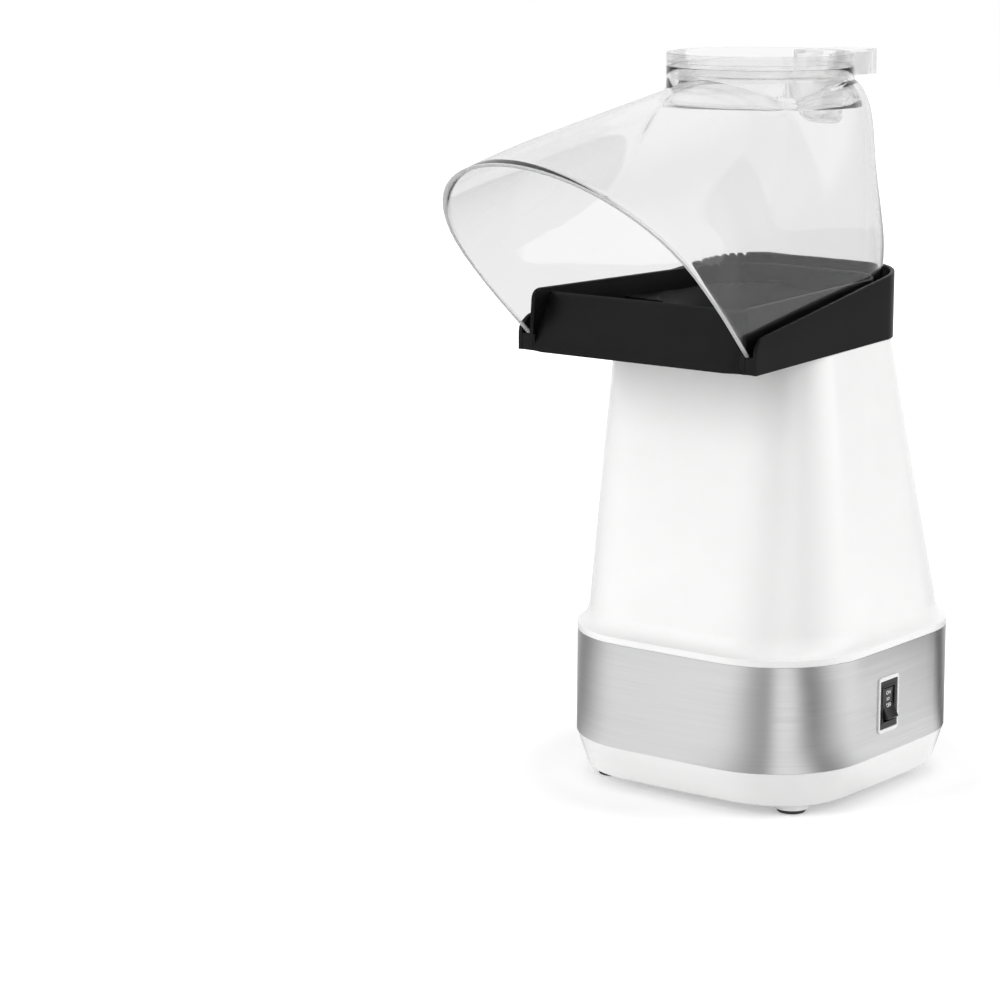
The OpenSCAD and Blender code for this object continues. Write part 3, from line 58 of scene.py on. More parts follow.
def clamp01(t):
    return min(max(t, 0.0), 1.0)


def smooth(t):
    t = clamp01(t)
    return t * t * (3 - 2 * t)


def lerp(a, b, t):
    return a + (b - a) * t


def polar(r, deg, centre=ORIGIN):
    """The point at a distance and an angle from a centre."""
    a = math.radians(deg)
    return centre[0] + r * math.cos(a), centre[1] + r * math.sin(a)


def between(p, q, steps):
    """The points that part the line from p to q in equal steps, without its ends."""
    return [tuple(lerp(a, b, i / steps) for a, b in zip(p, q)) for i in range(1, steps)]


def transpose(rows):
    return [list(column) for column in zip(*rows)]


def add_object(name, points, faces, sharp=32.0):
    """A mesh object from points in millimetres, smooth shaded with sharp edges above an angle."""
    mesh = bpy.data.meshes.new(name)
    mesh.from_pydata([(x * MM, y * MM, z * MM) for x, y, z in points], [], faces)
    mesh.update()
    obj = bpy.data.objects.new(name, mesh)
    bpy.context.scene.collection.objects.link(obj)
    shade(obj, sharp)
    return obj


def shade(obj, sharp=32.0):
    mesh = obj.data
    mesh.polygons.foreach_set("use_smooth", [True] * len(mesh.polygons))
    mesh.set_sharp_from_angle(angle=math.radians(sharp))


def bake(obj):
    """Replaces the mesh by what its modifiers make of it."""
    bpy.context.view_layer.update()
    graph = bpy.context.evaluated_depsgraph_get()
    mesh = bpy.data.meshes.new_from_object(obj.evaluated_get(graph))
    obj.modifiers.clear()
    obj.data = mesh
    shade(obj)
    return obj


def boolean(obj, other, operation):
    """Cuts the other object from obj, or adds it, and uses it up."""
    mod = obj.modifiers.new("cut", "BOOLEAN")
    mod.object = other
    mod.operation = operation
    mod.solver = "EXACT"
    bake(obj)
    bpy.data.objects.remove(other)
    return obj


def bevel(obj, width, segments=2, angle=40.0):
    mod = obj.modifiers.new("edge", "BEVEL")
    mod.width = width * MM
    mod.segments = segments
    mod.limit_method = "ANGLE"
    mod.angle_limit = math.radians(angle)
    return bake(obj)


def join(name, parts):
    """One object from several, each in place."""
    points, faces = [], []
    for part in parts:
        base = len(points)
        points += [tuple(v.co / MM) for v in part.data.vertices]
        faces += [[base + i for i in p.vertices] for p in part.data.polygons]
        bpy.data.objects.remove(part)
    return add_object(name, points, faces)


def rings_mesh(name, rings, closed=False, sharp=32.0, turn=False):
    """A surface through rings of equal length. closed joins the last to the first, else both get a cap."""
    n, m = len(rings[0]), len(rings)
    points = [p for ring in rings for p in ring]
    faces = []
    for i in range(m if closed else m - 1):
        a, b = i * n, ((i + 1) % m) * n
        for j in range(n):
            k = (j + 1) % n
            faces.append((a + j, a + k, b + k, b + j))
    if not closed:
        faces.append(tuple(reversed(range(n))))
        faces.append(tuple((m - 1) * n + j for j in range(n)))
    if turn:
        faces = [tuple(reversed(f)) for f in faces]
    return add_object(name, points, faces, sharp)


def strip(name, rows, sharp=32.0):
    """A bar along a path. Each row runs along the path at one point of the bar's section."""
    return rings_mesh(name, transpose(rows), sharp=sharp, turn=True)


def lathe(name, profile, n=96, centre=AIR_AXIS, sharp=32.0):
    """A closed profile of (radius, height) turned about a vertical axis, counter-clockwise in (r, z)."""
    rings = [[(*polar(r, 360 * j / n, centre), z) for j in range(n)] for r, z in profile]
    obj = rings_mesh(name, rings, closed=True, sharp=sharp)
    bm = bmesh.new()
    bm.from_mesh(obj.data)
    bmesh.ops.remove_doubles(bm, verts=bm.verts, dist=1e-7)
    bmesh.ops.recalc_face_normals(bm, faces=bm.faces)
    bm.to_mesh(obj.data)
    bm.free()
    shade(obj, sharp)
    return obj


def cylinder(name, r, z0, z1, n=96, centre=AIR_AXIS):
    return lathe(name, [(0, z0), (r, z0), (r, z1), (0, z1)], n, centre)


def box_mesh(name, lo, hi):
    (x0, y0, z0), (x1, y1, z1) = lo, hi
    pts = [(x, y, z) for z in (z0, z1) for x, y in ((x0, y0), (x1, y0), (x1, y1), (x0, y1))]
    faces = [(3, 2, 1, 0), (4, 5, 6, 7), (0, 1, 5, 4), (1, 2, 6, 5), (2, 3, 7, 6), (3, 0, 4, 7)]
    return add_object(name, pts, faces)


def place(obj, matrix):
    obj.data.transform(matrix)
    obj.data.update()
    return obj


def along(axis):
    """Turns +Z to the given axis."""
    return Vector((0, 0, 1)).rotation_difference(Vector(axis)).to_matrix().to_4x4()


def fillet_profile(corners, steps=5):
    """A closed profile from corners (r, z, fillet radius), each corner rounded."""
    out = []
    n = len(corners)
    for i, (x, y, f) in enumerate(corners):
        p = Vector((x, y))
        a = Vector(corners[i - 1][:2])
        b = Vector(corners[(i + 1) % n][:2])
        if f <= 0:
            out.append((x, y))
            continue
        u, v = (a - p).normalized(), (b - p).normalized()
        half = math.acos(max(-1.0, min(1.0, u.dot(v)))) / 2
        d = min(f / math.tan(half), (a - p).length * 0.49, (b - p).length * 0.49)
        s, e = p + u * d, p + v * d
        for k in range(steps + 1):
            t = k / steps
            q = s * (1 - t) ** 2 + p * (2 * t * (1 - t)) + e * t * t
            out.append((q.x, q.y))
    return out


# -------------------------- outlines that several pieces share

BAND_W, BAND_D, BAND_R, BOW = 94.5, 100.5, 58.0, 1.6  # half sizes, corner radius and bow of the sides
BAND_Z, BAND_TOP = 28.2, 90.8
SHELL_TOP = 265.5
CORNER_STEPS, SIDE_STEPS = 14, 10


def corner_arcs(w, d, r, n):
    """The round corners of a rectangle of half sizes w and d, n + 1 points each, counter-clockwise."""
    centres = ((w - r, d - r), (r - w, d - r), (r - w, r - d), (w - r, r - d))
    return [[polar(r, 90 * (c + i / n), centre) for i in range(n + 1)] for c, centre in enumerate(centres)]


def footprint(w, d, r, yc=0.0, taper=0.0, bow=0.0):
    """A rounded rectangle of half sizes w and d with bowed sides. taper narrows it towards +Y."""
    arcs = corner_arcs(w, d, r, CORNER_STEPS)
    pts = []
    for arc, following in zip(arcs, arcs[1:] + arcs[:1]):
        pts += arc + between(arc[-1], following[0], SIDE_STEPS)
    return [(x * (1 - bow / w * (y / d) ** 2) * (1 - taper * y / d), y * (1 - bow / d * (x / w) ** 2) + yc)
            for x, y in pts]


def band_outline(ix, iy=None):
    iy = ix if iy is None else iy
    return footprint(BAND_W - ix, BAND_D - iy, BAND_R - max(ix, iy), bow=BOW)


def at_z(outline, z):
    return [(x, y, z) for x, y in outline]


def band_rings(*steps):
    """Sections of the band's outline, each as (inset, height)."""
    return [at_z(band_outline(inset), z) for inset, z in steps]


FLARE_Z, FLARE_H, FLARE_IN = 94.8, 14.0, 7.4  # the shell's concave foot
FLARE_START = 20.0  # its arc runs from here to 90 degrees
TOWER_Z = FLARE_Z + FLARE_H
TOP_W, TOP_D, TOP_R, TOP_Y, TOP_TAPER = 69.47, 66.0, 34.0, -8.0, 0.09168


def tower_outline(z, inset):
    t = (z - TOWER_Z) / (SHELL_TOP - TOWER_Z)
    w, d, r = (lerp(low - FLARE_IN, top, t) - inset
               for low, top in ((BAND_W, TOP_W), (BAND_D, TOP_D), (BAND_R, TOP_R)))
    return footprint(w, d, r, TOP_Y * t, TOP_TAPER * clamp01(t), BOW * (1 - clamp01(t)))


def flare_rings(inset, steps=14):
    s0, c0 = math.sin(math.radians(FLARE_START)), math.cos(math.radians(FLARE_START))
    out = []
    for i in range(steps + 1):
        a = math.radians(lerp(FLARE_START, 90.0, i / steps))
        shift = FLARE_IN * (math.sin(a) - s0) / (1 - s0)
        out.append(at_z(band_outline(shift + inset), FLARE_Z + FLARE_H * (c0 - math.cos(a)) / c0))
    return out


# -------------------------- materials


class Nodes:
    """Small builder for the nodes of a material or the world."""

    def __init__(self, tree):
        self.tree = tree
        tree.nodes.clear()

    def fill(self, node, inputs):
        """Gives each input its value, or links it to the output that is given for it."""
        for key, value in inputs.items():
            if isinstance(value, bpy.types.NodeSocket):
                self.tree.links.new(value, node.inputs[key])
            else:
                node.inputs[key].default_value = value

    def node(self, kind, inputs=None, **props):
        n = self.tree.nodes.new("ShaderNode" + kind)
        for key, value in props.items():
            setattr(n, key, value)
        self.fill(n, inputs or {})
        return n

    def remap(self, value, lo, hi, a=0.3, b=0.7):
        """Turns a..b into lo..hi."""
        ends = {"From Min": a, "From Max": b, "To Min": lo, "To Max": hi}
        return self.node("MapRange", {"Value": value, **ends}).outputs[0]

    def mix(self, fac, a, b):
        """Mixes two colours."""
        both = {"Factor": fac, "A": (*a, 1), "B": (*b, 1)}
        return self.node("Mix", both, data_type="RGBA").outputs["Result"]

    def blend(self, fac, a, b):
        """Mixes two shaders."""
        return self.node("MixShader", {0: fac, 1: a, 2: b}).outputs[0]


class Material(Nodes):
    """A Principled material whose textures lie in object coordinates."""

    def __init__(self, name):
        self.mat = bpy.data.materials.new(name)
        self.mat.use_nodes = True
        super().__init__(self.mat.node_tree)
        self.coord = self.node("TexCoord").outputs["Object"]
        self.bsdf = self.node("BsdfPrincipled")
        self.out = self.node("OutputMaterial", {"Surface": self.bsdf.outputs[0]})

    def noise(self, scale, detail=3.0, rough=0.55, stretch=None):
        where = self.coord
        if stretch:
            where = self.node("Mapping", {"Vector": where, "Scale": stretch}).outputs[0]
        settings = {"Vector": where, "Scale": scale, "Detail": detail, "Roughness": rough}
        return self.node("TexNoise", settings).outputs["Fac"]

    def bump(self, height, strength, distance):
        return self.node("Bump", {"Height": height, "Strength": strength, "Distance": distance}).outputs[0]


def surface(name, color, rough=0.4, metal=0.0, spread=0.04, grain=900.0, bump=0.05, depth=0.0002, coat=0.0,
            rough_spread=0.05, blotch=30.0, stretch=None, specular=0.5):
    """Colour with slow variation, roughness that varies with it, and a fine grain as bump."""
    g = Material(name)
    slow = g.noise(blotch, 2.0)
    fine = g.noise(grain, 3.0, 0.6, stretch)
    dark = tuple(max(c * (1 - spread), 0.0) for c in color)
    light = tuple(min(c * (1 + spread), 1.0) for c in color)
    g.fill(g.bsdf, {
        "Base Color": g.mix(g.remap(slow, 0, 1), dark, light),
        "Roughness": g.remap(fine, max(rough - rough_spread, 0.02), rough + rough_spread),
        "Metallic": metal,
        "IOR": 1.5,
        "Specular IOR Level": specular,
        "Normal": g.bump(fine, bump, depth),
    })
    if coat:
        g.fill(g.bsdf, {"Coat Weight": coat, "Coat Roughness": 0.12})
    return g.mat


def brushed_steel(name):
    """Stainless sheet with fine horizontal brushing."""
    g = Material(name)
    hair = g.noise(1.0, 4.0, 0.7, (18, 18, 5200))
    broad = g.noise(1.0, 2.0, 0.5, (9, 9, 420))
    slow = g.noise(11.0, 2.0)
    base = g.mix(g.remap(hair, 0, 1, 0.25, 0.75), (0.66, 0.66, 0.665), (0.78, 0.78, 0.785))
    cloud = g.mix(g.remap(slow, 0, 1), (0.96, 0.96, 0.96), (1, 1, 1))
    tone = g.node("Mix", {"Factor": 1.0, "A": base, "B": cloud}, data_type="RGBA", blend_type="MULTIPLY")
    g.fill(g.bsdf, {
        "Base Color": tone.outputs["Result"],
        "Roughness": g.remap(broad, 0.29, 0.37),
        "Metallic": 1.0,
        "Anisotropic": 0.85,
        "Anisotropic Rotation": 0.25,
        "Tangent": g.node("Tangent", direction_type="RADIAL", axis="Z").outputs[0],
        "Normal": g.bump(hair, 0.08, 0.00005),
    })
    return g.mat


def clear_plastic(name, rough=0.03, lip=None, ior=1.46, straight=0.0):
    """Clear polycarbonate: thin tint, faint flow waves and scuffs, and a shadow that lets light through.

    lip is the plane (direction, distance) along which the moulded edge gets a painted highlight, a pale and
    partly clear finish. straight is the share of the light that a thin wall passes unbent.
    """
    g = Material(name)
    slow = g.noise(14.0, 2.0)
    waves = g.remap(slow, 0, 1)
    scuff = g.noise(240.0, 4.0, 0.6)
    g.fill(g.bsdf, {
        "Base Color": g.mix(waves, (0.925, 0.925, 0.925), (0.94, 0.94, 0.94)),
        "Roughness": g.remap(scuff, rough - 0.01, rough + 0.02, 0.4, 0.8),
        "Transmission Weight": 1.0,
        "IOR": ior,
        "Normal": g.bump(slow, 0.05, 0.0004),
    })
    body = g.bsdf.outputs[0]
    if straight:
        pane = g.node("BsdfTransparent", {"Color": g.mix(waves, (0.975, 0.975, 0.975), (0.99, 0.99, 0.99))})
        body = g.blend(g.remap(slow, straight - 0.02, straight + 0.02), body, pane.outputs[0])
    # painted highlight: near the mouth's plane the wall turns pale and partly clear, standing in for the
    # light its edge catches
    if lip:
        direction, distance = lip
        ahead = g.node("VectorMath", {0: g.coord, 1: direction}, operation="DOT_PRODUCT").outputs["Value"]
        rim_highlight_paint = g.node("BsdfPrincipled", {
            "Base Color": g.mix(g.remap(scuff, 0, 1), (0.86, 0.87, 0.87), (0.93, 0.93, 0.93)),
            "Roughness": 0.25,
            "Transmission Weight": 0.35,
        })
        fade = g.remap(ahead, 0.8, 0.0, distance + 0.5 * MM, distance + 1.7 * MM)
        body = g.blend(fade, body, rim_highlight_paint.outputs[0])
    clear = g.node("BsdfTransparent", {"Color": (0.90, 0.90, 0.90, 1)})
    in_shadow = g.node("LightPath").outputs["Is Shadow Ray"]
    g.fill(g.out, {"Surface": g.blend(in_shadow, body, clear.outputs[0])})
    return g.mat


# the hood's mouth lies in a plane that passes MOUTH_Y in front of the origin at the groove and leans forward
MOUTH_Y, MOUTH_LEAN = 134.0, 1.1
GROOVE = 275.0
LIP_TILT = math.hypot(1.0, MOUTH_LEAN)
LIP_PLANE = ((0.0, 1.0 / LIP_TILT, MOUTH_LEAN / LIP_TILT), (MOUTH_LEAN * GROOVE - MOUTH_Y) * MM / LIP_TILT)

FINISHES = {
    "white_gloss": dict(color=(0.86, 0.86, 0.857), rough=0.20, spread=0.01, grain=420, bump=0.03,
                        depth=0.00015, coat=0.35, rough_spread=0.04),
    "black_satin": dict(color=(0.0045, 0.0045, 0.0047), spread=0.12, grain=2400, bump=0.14, depth=0.00010,
                        specular=0.16),
    "rubber_black": dict(color=(0.022, 0.022, 0.023), rough=0.72, spread=0.15, grain=1500, bump=0.3),
    "bezel_grey": dict(color=(0.80, 0.80, 0.795), rough=0.28, spread=0.02, grain=700, coat=0.2),
    "switch_black": dict(color=(0.016, 0.016, 0.017), rough=0.42, spread=0.15, grain=2600, bump=0.12),
    "rocker_black": dict(color=(0.012, 0.012, 0.013), rough=0.24, spread=0.15, grain=1800),
    "legend_white": dict(color=(0.85, 0.85, 0.85), rough=0.45, spread=0.03, grain=1800),
    "tab_brass": dict(color=(0.72, 0.55, 0.28), rough=0.30, metal=1.0, stretch=(1, 1, 6)),
    "chamber_aluminium": dict(color=(0.74, 0.74, 0.75), rough=0.33, metal=1.0, spread=0.05, grain=1.0,
                              stretch=(30, 30, 2600), bump=0.08),
    "silicone_red": dict(color=(0.36, 0.08, 0.045), rough=0.55, spread=0.1, grain=700, bump=0.1),
    "duct_steel": dict(color=(0.55, 0.55, 0.56), rough=0.38, metal=1.0, spread=0.06, grain=500),
    "mica": dict(color=(0.62, 0.54, 0.38), rough=0.5, spread=0.2, grain=1300, blotch=160, bump=0.15),
    "coil_wire": dict(color=(0.30, 0.27, 0.24), rough=0.5, metal=0.8, spread=0.2, grain=1.0,
                      stretch=(900, 900, 900), bump=0.3),
    "ceramic": dict(color=(0.80, 0.78, 0.71), rough=0.45, spread=0.05, grain=1600, bump=0.1),
    "thermostat_black": dict(color=(0.03, 0.03, 0.032), rough=0.5, spread=0.15, grain=1600),
    "fuse_sleeve": dict(color=(0.70, 0.65, 0.52), rough=0.6, spread=0.1, grain=2200, bump=0.3),
    "housing_grey": dict(color=(0.10, 0.10, 0.102), rough=0.5, spread=0.1, grain=1800, bump=0.15),
    "grommet_rubber": dict(color=(0.025, 0.025, 0.026), rough=0.75, spread=0.15, grain=1200, bump=0.25),
    "bracket_steel": dict(color=(0.58, 0.58, 0.59), rough=0.35, metal=1.0, stretch=(1, 12, 1)),
    "can_zinc": dict(color=(0.55, 0.56, 0.58), rough=0.36, metal=1.0, spread=0.12, blotch=260),
    "cap_black": dict(color=(0.03, 0.03, 0.032), rough=0.48, spread=0.15, grain=1800),
    "ferrite": dict(color=(0.06, 0.06, 0.065), rough=0.6, metal=0.3, spread=0.2, grain=1400, bump=0.2),
    "bronze": dict(color=(0.50, 0.36, 0.19), rough=0.42, metal=1.0, spread=0.15, grain=2600, bump=0.2),
    "carbon": dict(color=(0.04, 0.04, 0.042), rough=0.5, metal=0.2, spread=0.25, grain=2000),
    "board_green": dict(color=(0.02, 0.14, 0.05), rough=0.35, spread=0.15, blotch=240, coat=0.3),
    "diode_black": dict(color=(0.02, 0.02, 0.022), rough=0.32, spread=0.2, grain=1200),
    "gland_black": dict(color=(0.022, 0.022, 0.023), rough=0.62, spread=0.15, grain=1500, bump=0.2),
    "lead_white": dict(color=(0.72, 0.72, 0.70), rough=0.42, spread=0.05),
    "screw_steel": dict(color=(0.50, 0.50, 0.51), rough=0.32, metal=1.0, grain=1500, stretch=(1, 1, 5)),
    "shaft_steel": dict(color=(0.62, 0.62, 0.63), rough=0.18, metal=1.0, spread=0.03, grain=1.0,
                        stretch=(40, 40, 3200)),
    "laminations": dict(color=(0.30, 0.30, 0.31), rough=0.42, metal=0.9, spread=0.1, grain=1.0,
                        stretch=(20, 20, 1500), bump=0.4),
    "copper_wire": dict(color=(0.55, 0.22, 0.09), rough=0.28, metal=0.9, spread=0.15, grain=1.0,
                        stretch=(300, 300, 2200), bump=0.5),
    "commutator_copper": dict(color=(0.66, 0.34, 0.19), rough=0.3, metal=1.0, spread=0.1, grain=1.0,
                              stretch=(60, 60, 1800)),
    "impeller_grey": dict(color=(0.13, 0.135, 0.14), rough=0.42, spread=0.1, grain=1500, bump=0.1),
}
MATS = {name: surface(name, **finish) for name, finish in FINISHES.items()}
MATS["steel"] = brushed_steel("steel")
MATS["clear_hood"] = clear_plastic("clear_hood", lip=LIP_PLANE)
MATS["clear_cup"] = clear_plastic("clear_cup", 0.025, ior=1.25, straight=0.45)


def coat_with(obj, name):
    obj.data.materials.clear()
    obj.data.materials.append(MATS[name])


def dress(obj, slot, body, *nodes):
    """Gives a new piece its material and slot, lets it ride on its body and stand for CAD nodes."""
    coat_with(obj, slot)
    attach(obj, body)
    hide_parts(*nodes)


for part in frame["record"]["subparts"]:
    coat_with(frame["nodes"][part["node"]], part["material_slot"])

# -------------------------- base pan, feet and steel band

FLOOR_Z, PAN_EDGE = 6.5, 2.0  # underside of the pan and the rounding of its lower edge
PAN_X, PAN_Y, PAN_GAP = 6.4, 9.0, 0.3  # how far the walls lean in, and their setback at the band
SCREW_X, SCREW_Y, SOCKET_R = 70.0, 38.0, 3.9
FOOT_AT = 64.0
INLETS = 20
MOUNT_R, MOUNT_TURNS = 46.0, (90, 210, 330)
GLAND_Z = 17.0


def pan_outline(z, inset):
    t = (BAND_Z - z) / (BAND_Z - FLOOR_Z)
    e = 0.0
    if z < FLOOR_Z + PAN_EDGE:
        e = PAN_EDGE - math.sqrt(max(PAN_EDGE ** 2 - (FLOOR_Z + PAN_EDGE - z) ** 2, 0.0))
    return band_outline(PAN_GAP + PAN_X * t + e + inset, PAN_GAP + PAN_Y * t + e + inset)


def pan_wall():
    lows = [FLOOR_Z + PAN_EDGE * (1 - math.cos(math.radians(a))) for a in (0, 12, 26, 40, 55, 70, 90)]
    rings = [at_z(pan_outline(z, 0), z) for z in lows + [14, 20, 27.7]]
    rings += band_rings((0.42, 28.05), (0.75, BAND_Z), (3.5, BAND_Z))
    rings += [at_z(pan_outline(z - 2.4, 3.2), z) for z in (24, 18, 12, 9.2)]
    rings.append(at_z(pan_outline(FLOOR_Z, 5.0), 8.9))
    return rings_mesh("base_pan", rings)


def pan_holes():
    """Air inlets and screw sockets in the floor, and the cord's hole in the rear wall."""
    holes = []
    for i in range(INLETS):
        inlet = box_mesh("inlet", (20, -1.5, 4), (39, 1.5, 12))
        turn = Matrix.Rotation(2 * math.pi * i / INLETS, 4, "Z")
        holes.append(place(inlet, Matrix.Translation((0, AIR_Y * MM, 0)) @ turn))
    holes += [cylinder("socket", SOCKET_R, 3, 14, 32, (SCREW_X * sx, SCREW_Y * sy)) for sx, sy in QUADRANTS]
    cord = cylinder("cord", 7.1, 0, 20, 40, ORIGIN)
    holes.append(place(cord, Matrix.Translation((0, 105 * MM, GLAND_Z * MM)) @ along((0, -1, 0))))
    return join("holes", holes)


def pan_bosses():
    """Foot bosses, screw posts, motor mounts, board pegs, the cord's collar and the rim inside the band."""
    foot = fillet_profile([(0, 5, 0), (8.5, 5, 0), (8.5, 2.5, 0.3), (10.5, 2.5, 0.8), (10.5, 8.8, 0),
                           (0, 8.8, 0)])
    post = fillet_profile([(SOCKET_R, 6.5, 0), (5.2, 6.5, 0), (5.2, 34.2, 0.4), (SOCKET_R, 34.2, 0.2)])
    mount = fillet_profile([(2.1, 8, 0), (5.5, 8, 0), (5.5, 70, 0.4), (2.1, 70, 0.3)])
    bosses = []
    for sx, sy in QUADRANTS:
        bosses.append(lathe("boss", foot, 56, (FOOT_AT * sx, FOOT_AT * sy)))
        bosses.append(lathe("boss", post, 40, (SCREW_X * sx, SCREW_Y * sy)))
    bosses += [lathe("boss", mount, 40, polar(MOUNT_R, deg, AIR_AXIS)) for deg in MOUNT_TURNS]
    bosses += [cylinder("peg", 3, 8, 30, 24, (14 * sx, -66)) for sx in (-1, 1)]
    collar = fillet_profile([(7.15, 0, 0), (10, 0, 0), (10, 6.4, 0.5), (7.15, 6.4, 0.3)])
    turn = Matrix.Translation((0, 91.5 * MM, GLAND_Z * MM)) @ along((0, 1, 0))
    bosses.append(place(lathe("collar", collar, 56, ORIGIN), turn))
    rim = band_rings((3.5, 24.2), (3.5, 31.8), (3.8, 32.2), (4.8, 32.2), (5.1, 31.8), (5.1, 24.2))
    bosses.append(rings_mesh("rim", rim, closed=True))
    return bosses


def base_pan():
    shell = boolean(pan_wall(), pan_holes(), "DIFFERENCE")
    return join("base_pan_moulding", [shell] + pan_bosses())


dress(base_pan(), "white_gloss", "housing", "base_pan")


def feet():
    pad = fillet_profile([(0, 0.35, 0), (5.6, 0.35, 0), (5.9, 0, 0.2), (7.9, 0, 0.5), (8.5, 0.7, 0.4),
                          (8.5, 5, 0), (0, 5, 0)], 4)
    return join("rubber_feet", [lathe("pad", pad, 56, (FOOT_AT * sx, FOOT_AT * sy)) for sx, sy in QUADRANTS])


dress(feet(), "rubber_black", "housing", "foot_pads")

SW_Y, SW_Z = -9.5, 57.8  # middle of the switch on the band's +X side


def switch_block(x0, x1, w, h):
    """A block of a full width and height about the middle of the switch."""
    return box_mesh("block", (x0, SW_Y - w / 2, SW_Z - h / 2), (x1, SW_Y + w / 2, SW_Z + h / 2))


def cut_for_switch(obj):
    return boolean(obj, switch_block(80, 110, 17.6, 27.6), "DIFFERENCE")


def steel_band():
    steps = [(0.22, BAND_Z), (0.06, 28.27), (0, 28.45), (0, 44), (0, 60), (0, 75), (0, 90.55), (0.06, 90.73),
             (0.22, BAND_TOP), (0.8, BAND_TOP), (0.8, BAND_Z)]
    return cut_for_switch(rings_mesh("band", band_rings(*steps), closed=True))


dress(steel_band(), "steel", "housing", "steel_band")


def body_shell():
    t = 2.4
    outer = band_rings((1.0, 28.25), (1.0, 90.7), (0.9, 90.82), (0.35, 90.82), (0.1, 90.9), (0, 91.15),
                       (0, 92.5), (0, 94.0))
    outer += flare_rings(0)
    heights = [lerp(TOWER_Z, SHELL_TOP, i / 16) for i in range(1, 16)]
    outer += [at_z(tower_outline(z, 0), z) for z in heights + [SHELL_TOP - 0.5]]
    outer.append(at_z(tower_outline(SHELL_TOP, 0.4), SHELL_TOP))
    inner = [at_z(tower_outline(z, t), z) for z in [SHELL_TOP] + heights[::-1]]
    inner += flare_rings(t, 8)[::-1] + band_rings((3.2, 92), (3.2, 28.25))
    parts = [cut_for_switch(rings_mesh("shell", outer + inner, closed=True))]
    post = fillet_profile([(1.8, 34.25, 0.2), (4.5, 34.25, 0.3), (4.5, 80.2, 0.5), (1.8, 80.2, 0)])
    for sx, sy in QUADRANTS:
        parts.append(lathe("post", post, 40, (SCREW_X * sx, SCREW_Y * sy)))
        x0, x1 = sorted((73 * sx, 92.4 * sx))
        parts.append(box_mesh("rib", (x0, SCREW_Y * sy - 1, 34.3), (x1, SCREW_Y * sy + 1, 80)))
    return join("tower_shell", parts)


dress(body_shell(), "white_gloss", "housing", "body_shell")

# -------------------------- chute tray

TR_FX, TR_MX = 81.7, 68.7  # half widths of the outer wall at its front and at y 0
TR_FY, TR_RY, TR_R = 134.7, 58.0, 34.0  # its front, its rear and the radius of its rear corners
INNER_PATH = {"r": 42.0, "back": 2.0}  # the inner wall's rear corners and how far its rear stands back
INNER_IN, INNER_LEAN, WALL_T = 9.2, 2.2, 2.4
FLOOR_IN = 10.4  # the floors run under the inner wall up to this inset
TR_K = (TR_FX - TR_MX) / TR_FY
TR_N = math.sqrt(1 + TR_K ** 2)
FRONTS = [0.0, 0.35, 0.9, 1.8, 3.0, 4.6, 6.6, 9.0]
MOUTH_R, DISH_R, DISH_RISE = 46.0, 58.0, 14.0  # the floor rises from the chamber's mouth out to DISH_R
RAMP_BACK_Y, CHUTE_HEAD_Y = -76.0, -58.0
CHAMFER_STEPS = (0.0, 1.2, 5.6, 10.0)  # columns of the ramp's slanted side faces


def half_width(y, inset):
    return TR_MX - TR_K * y - inset * TR_N


def tray_path(inset, fronts, arc=20, side=14, front=0.0, r=TR_R, back=0.0):
    """The tray's outline from its front right end round the rear to its front left end."""
    a0 = math.degrees(math.atan(TR_K))
    cy = TR_RY - back - r
    cx = TR_MX - TR_K * cy - r * TR_N
    corner = [polar(r - inset, lerp(a0, 90, i / arc), (cx, cy)) for i in range(arc + 1)]
    ys = [-TR_FY + front + f for f in fronts]
    ys += [lerp(ys[-1], corner[0][1], i / side) for i in range(1, side)]
    half = [(half_width(y, inset), y) for y in ys] + corner
    return half + [(-x, y) for x, y in reversed(half)]


def round_front(y, r):
    """How far a wall's top edge drops at the tray's front, for a corner of radius r."""
    d = y + TR_FY
    return r - math.sqrt(max(r * r - (r - d) ** 2, 0.0)) if d < r else 0.0


def outer_top(y):
    return SHELL_TOP + 19.5 + 0.111 * (y + TR_FY) - round_front(y, 9.0)


def inner_top(y):
    return 301.3 - round_front(y, 5.5)


def inner_foot(y):
    """The inner wall starts at the shell's top beside the ramp, and in the groove's floor behind it."""
    return SHELL_TOP if y < RAMP_BACK_Y else GROOVE - 2.0


def splay(y, drop):
    """How far the inner wall's face moves out at a depth below its top: more at its foot and in front."""
    return INNER_LEAN * clamp01(drop / 35.0) * clamp01((-y - 20) / 115.0)


def wall(name, inset, low, top, splayed, edge, **path):
    """A wall that follows the tray's outline with a rounded top."""
    section = [(0, 0.0, 0), (0, 0.5, 0), (0, 1.0, -edge), (0.16 * edge, 1.0, -0.42 * edge), (edge, 1.0, 0)]
    section += [(WALL_T - i, f, dz) for i, f, dz in reversed(section)]
    rows = []
    for i, f, dz in section:
        row = []
        for x, y in tray_path(inset + i, FRONTS, **path):
            z = lerp(low(y), top(y), f) + dz
            row.append((x + math.copysign(splay(y, top(y) - z), x) if splayed else x, y, z))
        rows.append(row)
    return strip(name, rows, 40)


def groove_floor():
    """The floor between the walls, a little behind their front ends."""
    outer = tray_path(1.2, FRONTS, front=0.25)
    inner = tray_path(FLOOR_IN, FRONTS, front=0.25, **INNER_PATH)
    under = GROOVE - WALL_T
    rows = [at_z(outer, under), at_z(outer, GROOVE), at_z(inner, GROOVE), at_z(inner, under)]
    return strip("groove_floor", rows)


